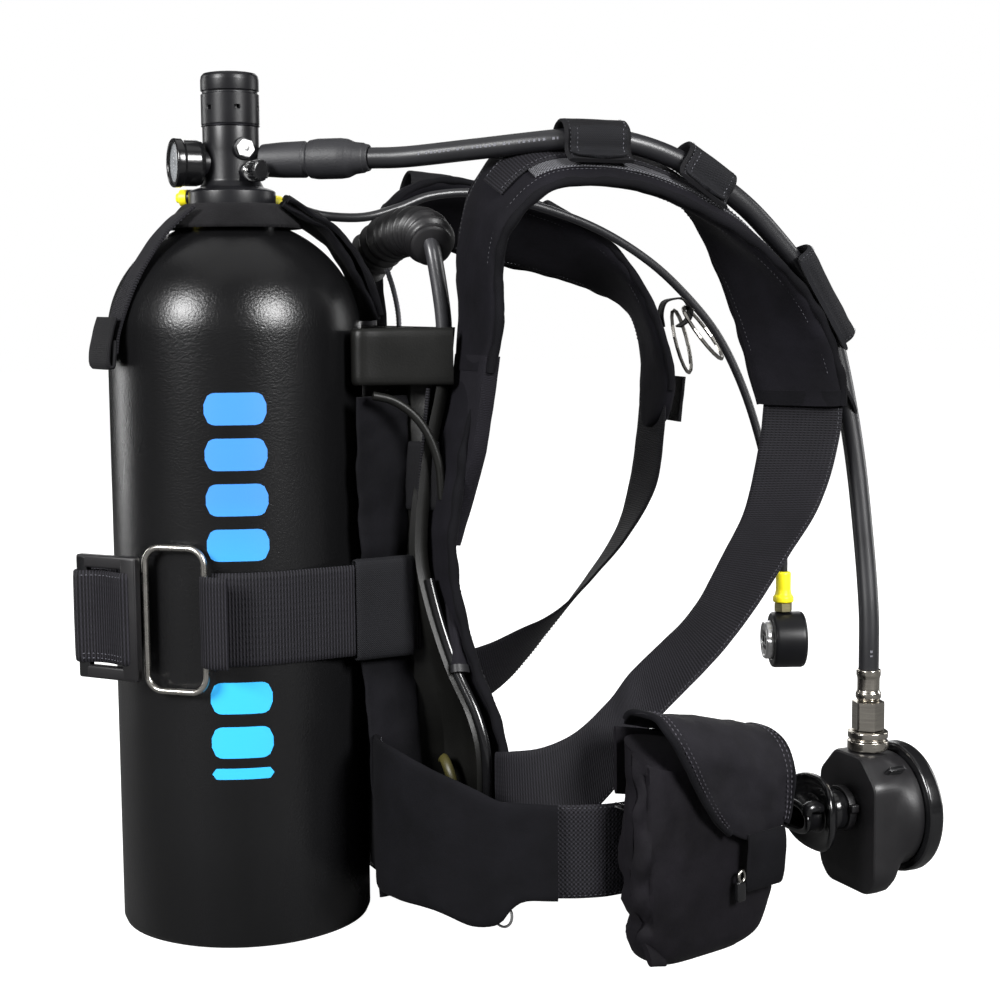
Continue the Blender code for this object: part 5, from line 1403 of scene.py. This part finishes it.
def make_pouch():
    rings = []
    for z, middle, half, depth, deep in refine(POUCH, 9):
        ring = []
        for k in range(120):
            angle = -math.tau * k / 120
            c, s = math.cos(angle), math.sin(angle)
            along = middle + half * math.copysign(abs(c) ** 0.5, c)
            out = deep * math.copysign(abs(s) ** 0.62, s)
            share = min(1.0, max(0.0, (z - 4) / 20)) * min(1.0, max(0.0, (108 - z) / 26))
            fold = 0.0
            if s < 0.2 or c < -0.8:
                lean = along * 0.085 - z * 0.03
                fold = 2.8 * noise.noise(Vector((lean, z * 0.012,
                                                 3.1))) + 1.6 * noise.noise(Vector((lean * 2.3, z * 0.05, 8)))
                fold += 1.3 * noise.noise(Vector((along * 0.16 + z * 0.05, z * 0.09, 1.7)))
                fold -= 4.6 * math.exp(-((along - 22 + (z - 50) * 0.30) / 5.0) ** 2)
                fold += 3.0 * math.exp(-((along - 35 + (z - 40) * 0.28) / 6.0) ** 2)
                fold -= 3.6 * math.exp(-((along - 54 + (z - 40) * 0.16) / 6.5) ** 2)
                fold += 2.2 * math.exp(-((along - 72 - (z - 30) * 0.35) / 8.0) ** 2)
                fold -= 2.4 * math.exp(-((z - 26 - along * 0.16) / 5.0) ** 2)
            point = on_pouch(along, depth + out, sloped(along, z) - (0.6 * out if z > 100 else 0))
            push = on_pouch(along, depth + out + math.copysign(1, s), 0) - on_pouch(along, depth + out, 0)
            push += (on_pouch(1, 0, 0) - on_pouch(0, 0, 0)) * (c * 0.6)
            soft = noise.noise(Vector((along * 0.1, out * 0.1, z * 0.09)))
            ring.append(point + push.normalized() * (1.7 * fold * share - 1.6 + 0.9 * soft * share))
        rings.append(ring)
    body = loft("pouch_body", rings, "sag", stands_for="pouch", sharp=70)
    foot = []
    for k in range(5):
        foot.append((tuple(on_pouch(4 + 3.5 * k, 27 - 0.6 * k, 12 - 1.6 * k)), (0.3, -0.1, -1), 14 - 1.5 * k))
    strap("pouch_foot_fold", Ribbon(foot, 2), 3.0, "sag", 4, 8, wobble=0.8)
    wall = [((*on_pouch(8 + 9.6 * k, -1.2, 0)[:2], sloped(8 + 9.6 * k, 99.5)), (0, 0, 1),
             36) for k in range(11)]
    strap("pouch_back_wall", Ribbon(wall, 3), 2.2, "sag", 12, 12, wobble=0.4)
    for name, low, high in (("front", 101.5, 102.5),):
        stations = []
        for k in range(9):
            t = k / 8
            foot = on_pouch(low, 3 + 25 * t, sloped(low, 90))
            head = on_pouch(high + (low - high) * t ** 2, 2 + 24 * t, sloped(high, 121 - 15 * t ** 1.6))
            stations.append((tuple((foot + head) / 2), tuple(head - foot), (head - foot).length))
        strap(f"pouch_gusset_{name}", Ribbon(stations, 2), 2.2, "sag", 14, 10, wobble=1.0, seed=len(name))
    stations = []
    for depth, z, rear, front in refine(FLAP, 4):
        a, b = on_pouch(rear, depth, sloped(rear, z)), on_pouch(front, depth, sloped(front, z))
        stations.append((tuple((a + b) / 2), tuple(b - a), (b - a).length))
    ribbon = Ribbon(stations, 2.5)
    sign = 1 if ribbon.normal(ribbon.length - 10).y < 0 else -1
    flap = strap("flap_cloth", ribbon, 2.6, "flap", 10, 30, "flap", "pouch_flap", wobble=2.0, seed=40,
                 narrow=rounded_end(0.0001, 0.1))
    for number, v in enumerate((-0.965, 0.965)):
        tube(f"flap_binding_{number}", [ribbon.at(4 + (ribbon.length - 12) * k / 60, v, 0)
                                        + ribbon.normal(4 + (ribbon.length - 12) * k / 60) * 0.9 * noise.noise(
                                            ribbon.at(4 + (ribbon.length - 12) * k / 60, v, 0) * 0.08)
                                        for k in range(61)], 1.9, "lining", "flap", around=10)
    for number, v in enumerate((-0.9, -0.82, 0.9, 0.82)):
        strap_stitch(f"flap_stitch_{number}", ribbon, v, sign * 1.75, 20, ribbon.length - 12, "flap_thread",
                     step=2,
                     body="flap", pitch=2.8, long=2.1, wide=0.9)
    tongue = []
    for depth, z in ((38.2, 66), (39.5, 60), (39.2, 50), (38.4, 41), (36.8, 35.5), (34.5, 36.5)):
        tongue.append((tuple(on_pouch(80, depth, z)), tuple(on_pouch(1, 0, 0) - on_pouch(0, 0, 0)), 29))
    strap("pouch_tongue", Ribbon(tongue, 1.6), 2.2, "lining", wobble=0.7, seed=44)
    ring = [on_pouch(63 + 2.2 * math.cos(a), 37.4,
                     44 + 3.0 * math.sin(a)) for a in (math.tau * k / 28 for k in range(28))]
    tube("pouch_ring", ring, 0.9, "steel", cyclic=True, around=10)
    lock = on_pouch(62.5, 37, 36)
    rounded_block("pouch_lock", (6, 3.4, 11), tuple(lock), "gloss", Matrix.Rotation(POUCH_TURN, 4, "Z"), 1.2)


make_pouch()


# ---------------------------------------------------------------- demand regulator
def make_regulator():
    x, y = REG
    axis = (x, y, 0)
    ferrule = [(5.9, 136.2), (6.9, 136), (6.9, 133), (6.3, 131), (6.3, 124), (7.2, 122.6), (7.2, 120), (6.4,
            118.9),
               (6.2, 118.2), (0, 118.2)]
    lathe("hose_ferrule", ferrule, "nickel", axis, steps=56, stands_for="lp_ferrule", radius=0.5)
    hexagon("hose_nut", 16.4, 101.2, 117.9, "nickel", axis, turn=0.75, stands_for="lp_nut")
    fitting = [(0, 100.9), (10.2, 100.9), (11.4, 100.2), (11.4, 96.9), (10.2, 96.3), (10.2, 95.6), (11.6,
            94.9),
               (11.6, 90.2), (10.9, 89.5), (7.5, 89.3), (7.5, 82.5), (0, 82.5)]
    lathe("swivel_collar", fitting, "nickel", axis, steps=64, body="second_stage", stands_for="inlet_fitting",
          radius=0.35)

    def outline(k, count=96):
        """Unit direction and reach of the case's chamfered outline, in the plane across its axis."""
        angle = math.tau * k / count
        c, s = math.cos(angle), math.sin(angle)
        top, low, half = 89 - REG_Z, REG_Z - 10, 28
        reach = half / max(1e-6, abs(c))
        reach = min(reach, (top if s > 0 else low) / max(1e-6, abs(s)))
        chamfer = (28 + top - 15) if s > 0 else (28 + low - 9)
        reach = min(reach, chamfer / max(1e-6, abs(c) + abs(s)))
        return c, s, reach

    rings = []
    for px, mix, shrink in ((314, 0, 0.955), (314.6, 0, 0.985), (316, 0, 1), (322, 0, 1), (327, 0.04, 1),
                            (330, 0.2, 1),
                            (333, 0.5, 1), (335.5, 0.78, 1), (338, 0.94, 1), (340.5, 1, 1), (343.2, 1, 1),
                            (344.4, 1, 0.985), (344.7, 1, 0.955)):
        ring = []
        for k in range(96):
            c, s, reach = outline(k)
            smooth = sum(outline(k + step)[2] for step in (-1, 0, 1)) / 3
            radius = (smooth * (1 - mix) + 33 * mix) * shrink
            ring.append((px, y + radius * c, REG_Z + radius * s))
        rings.append(ring)
    loft("regulator_shell", rings, "moulded", "second_stage", "regulator_case", sharp=28)
    slot = Matrix.Rotation(math.radians(-38), 4, "X")
    rounded_block("case_slot", (10, 9, 3.0), (330.5, y - 22.0, 80.8), "gloss", slot, 0.6, "second_stage")
    rounded_block("case_slot_rim", (11.5, 11.5, 1.4), (330.5, y - 21.2, 79.8), "moulded", slot, 0.6,
                  "second_stage")
    centre = (REG_RIM_X, y, REG_Z)
    out = (1, 0, 0)
    ring = [(23.8, 9), (24.4, 10.2), (33.5, 10.5), (36.6, 9.6), (37.5, 7.8), (37.5, 1.4), (36.5, 0.4),
            (29.5, 0.4),
            (29.5, 6.6), (23.8, 6.6)]

    def grip(angle, r, h):
        return -0.06 * (math.sin(angle * 30) > 0.7) if r > 37 else 0.0

    lathe("cover_rim", ring, "gloss", centre, out, 180, "second_stage", "cover_ring", 0.5, True, grip)
    purge = [(0, 11), (5, 11), (5.6, 10.5), (14, 10.7), (15, 10.4), (15.6, 9.6), (17.4, 9.5), (18, 10.2),
             (22, 9.4),
             (23.1, 8.6), (23.1, 6.4), (28.2, 6.1), (28.2, 5.2), (6, 5.2), (5.5, 3.6), (0, 3.6)]
    lathe("purge_pad", purge, "rubber", centre, out, 96, "purge", "purge_button", 0.4)
    for k in range(12):
        angle = math.tau * (k + 0.5) / 12
        turn = Matrix.Rotation(angle, 4, "X")
        rounded_block(f"cover_vent_{k}", (0.6, 6.4, 2.6),
                      (REG_RIM_X + 10.25, y + 29 * math.cos(angle),
                       REG_Z + 29 * math.sin(angle)), "rubber", turn, 0.28,
                      "second_stage")
    lathe("exhaust_grille", [(0, 9.6), (7.4, 9.6), (8.4, 10.2), (8.4, 11), (0, 11)], "rubber", (x - 2, y,
            0), steps=40,
          radius=0.3, body="second_stage")

    def oval(px, half_y, half_z, bend):
        points = []
        for k in range(48):
            angle = math.tau * k / 48
            c, s = math.cos(angle), math.sin(angle)
            a = half_y * math.copysign(abs(c) ** 0.85, c)
            points.append((px - bend * (a / 25.0) ** 2, y + a,
                           MOUTH_Z + half_z * math.copysign(abs(s) ** 0.85, s)))
        return points

    sections = [
        (313.8, 11.4, 11.4, 0), (308, 11.2, 11.2, 0), (304, 12.2, 11.4, 0), (302, 12.4, 11.2, 0), (299,
                12.2, 10.4, 0),
        (296.4, 15, 11.5, 0), (294.4, 23.5, 20.2, 3.6), (292.6, 25, 21.7, 4), (290.6, 25, 21.6, 4), (289.6,
                23.5, 19.5, 4),
        (289.6, 19, 12, 3), (288.6, 17.8, 9.6, 3), (282.5, 18.2, 8.0, 3.6), (279, 19.6, 9.3, 4), (277, 19.4,
                9.0, 4),
        (276.6, 16, 5.8, 4), (282, 15, 5.0, 3.5), (290, 13.5, 5.0, 2), (300, 9, 7, 0), (313.8, 8, 8, 0),
    ]
    rings = [oval(*section) for section in refine(sections, 3)]
    loft("mouthpiece_soft", rings, "gloss", "second_stage", "mouthpiece", loop=True, sharp=70)
    for side in (-1, 1):
        bite = [(x0, REG[1] + side * 17.5, MOUTH_Z + dz) for x0, dz in ((286, 7), (281, 8.6), (276.5, 8.0),
                (275.6, 4))]
        tube(f"bite_lug_{side + 1}", smooth_route(bite, 1.5), lambda t: 2.8 + 0.8 * math.sin(t * math.pi),
             "gloss",
             "second_stage", around=14, flat=0.7)
    tie = [(11.5, 312), (13.0, 312), (13.2, 311.6), (13.2, 308), (13.0, 307.6), (11.5, 307.6)]
    lathe("mouthpiece_band", tie, "moulded", (0, y, MOUTH_Z), out, 64, "second_stage", "mouthpiece_tie",
          0.2, True)
    rounded_block("mouthpiece_band_head", (5.2, 3.4, 4.6), (309.8, y - 13.6, MOUTH_Z + 3), "moulded", None,
                  0.9,
                  "second_stage")


make_regulator()


# ---------------------------------------------------------------- console gauge
def make_console():
    x, y, z = CONSOLE
    sleeve = [(2.9, 163.2), (4.6, 163), (5.1, 162), (5.0, 151), (5.6, 147.6), (6.9, 146), (7.0, 143), (6.5,
            142.3),
              (0, 142.3)]
    lathe("console_hose_sleeve", sleeve, "yellow", (x, y, 0), steps=48, stands_for="console_sleeve",
          radius=0.5)
    hexagon("console_swivel_nut", 11, 135.9, 142, "brass", (x, y, 0), turn=0.2, body="console",
            stands_for="console_nut")
    case = [(0, 5), (13.4, 5), (13.4, 7.6), (14.2, 8.2), (17.6, 8.2), (18.6, 7.5), (19, 6), (19, -11.6),
            (18.4, -13.2),
            (17, -14), (0, -14)]
    lathe("console_body", case, "body", CONSOLE, CONSOLE_FACE, 80, "console", "console_case", 0.7)
    bezel = [(0, 12.3), (10.4, 12.3), (10.8, 13.6), (12.2, 13.4), (13.0, 12.2), (13.0, 6.4), (12.0, 6.4),
             (12.0, 11.4),
             (0, 11.4)]

    def notched(angle, r, h):
        return -0.4 if r > 12.5 and math.sin(angle * 9) > 0.6 else 0.0

    lathe("console_front", bezel, "silver", CONSOLE, CONSOLE_FACE, 90, "console", "console_lens", 0.3,
          ripple=notched,
          sharp=30)
    turn = Vector(CONSOLE_FACE).to_track_quat("Z", "Y").to_matrix().to_4x4()
    for number, (a, b, wide, tall) in enumerate(((0, 4.5, 11, 2.6), (0, -4.8, 11, 2.6), (-5, 0, 2.4, 4.4),
                                                 (5, 0, 2.4, 4.4))):
        spot = Vector(CONSOLE) + turn @ Vector((a, b, 12.55))
        rounded_block(f"console_plate_{number}", (wide, tall, 0.9), tuple(spot), "rubber", turn, 0.35,
                      "console")


make_console()


# ---------------------------------------------------------------- floor, light, finish
def area(name, spot, target, size, power, colour=(1, 1, 1), size_y=None):
    data = bpy.data.lights.new(name, "AREA")
    data.energy = power
    data.color = colour
    data.size = size
    if size_y:
        data.shape = "RECTANGLE"
        data.size_y = size_y
    light = bpy.data.objects.new(name, data)
    scene.collection.objects.link(light)
    light.location = spot
    light.rotation_euler = (Vector(target) - Vector(spot)).to_track_quat("-Z", "Y").to_euler()
    return light


def make_stage():
    plane = bpy.data.meshes.new("floor")
    plane.from_pydata([(-9, -9, 0), (9, -9, 0), (9, 9, 0), (-9, 9, 0)], [], [(0, 1, 2, 3)])
    floor = bpy.data.objects.new("floor", plane)
    scene.collection.objects.link(floor)
    paint = Nodes("floor_paint", (0.9, 0.9, 0.9), 0.85, Specular_IOR_Level=0.1)
    seen = paint.add("ShaderNodeLightPath").outputs["Is Camera Ray"]
    paint.link(paint.math("MULTIPLY", seen, FLOOR_GLOW), paint.shader.inputs["Emission Strength"])
    paint.shader.inputs["Emission Color"].default_value = (1, 1, 1, 1)
    pale = paint.add("ShaderNodeMix", data_type="RGBA")
    paint.link(seen, pale.inputs["Factor"])
    pale.inputs[6].default_value = (*FLOOR_BOUNCE, 1)
    pale.inputs[7].default_value = (*FLOOR_SEEN, 1)
    paint.link(pale.outputs[2], paint.shader.inputs["Base Color"])
    plane.materials.append(paint.material)

    world = bpy.data.worlds.new("studio")
    scene.world = world
    world.use_nodes = True
    tree = world.node_tree
    back = tree.nodes["Background"]
    back.inputs["Color"].default_value = (1, 1, 1, 1)
    back.inputs["Strength"].default_value = ROOM_GLOW
    seen = tree.nodes.new("ShaderNodeBackground")
    seen.inputs["Color"].default_value = (1, 1, 1, 1)
    seen.inputs["Strength"].default_value = 1.0
    path = tree.nodes.new("ShaderNodeLightPath")
    mix = tree.nodes.new("ShaderNodeMixShader")
    tree.links.new(path.outputs["Is Camera Ray"], mix.inputs[0])
    tree.links.new(back.outputs[0], mix.inputs[1])
    tree.links.new(seen.outputs[0], mix.inputs[2])
    tree.links.new(mix.outputs[0], tree.nodes["World Output"].inputs["Surface"])

    right, away = Vector((0.9135, -0.4067, 0)), Vector((0.4067, 0.9135, 0))
    middle = Vector((0.02, 0, 0.24))
    key = middle - away * 1.5 - right * 1.35 + Vector((0, 0, 1.0))
    fill = middle - away * 1.5 + right * 1.45 + Vector((0, 0, 1.0))
    area("key_left", key, middle, KEY_SIZE, KEY_POWER)
    area("key_right", fill, middle, KEY_SIZE, KEY_POWER)
    area("top", (0.1, 0.1, 2.3), (0.1, 0, 0), 2.4, 13)
    area("rim_left", middle - right * 1.9 + away * 0.9 + Vector((0, 0, 0.15)), middle, 0.5, 16, size_y=1.6)
    area("rim_right", middle + right * 2.1 + away * 0.9 + Vector((0, 0, 0.3)), middle, 0.6, 16, size_y=1.6)
    area("back_fill", middle + away * 2.4 + Vector((0, 0, 0.7)), middle, 1.6, 16)
    area("front", middle - away * 2.6 + Vector((0, 0, 0.5)), middle, 1.4, 1.5)


make_stage()
bpy.context.view_layer.update()
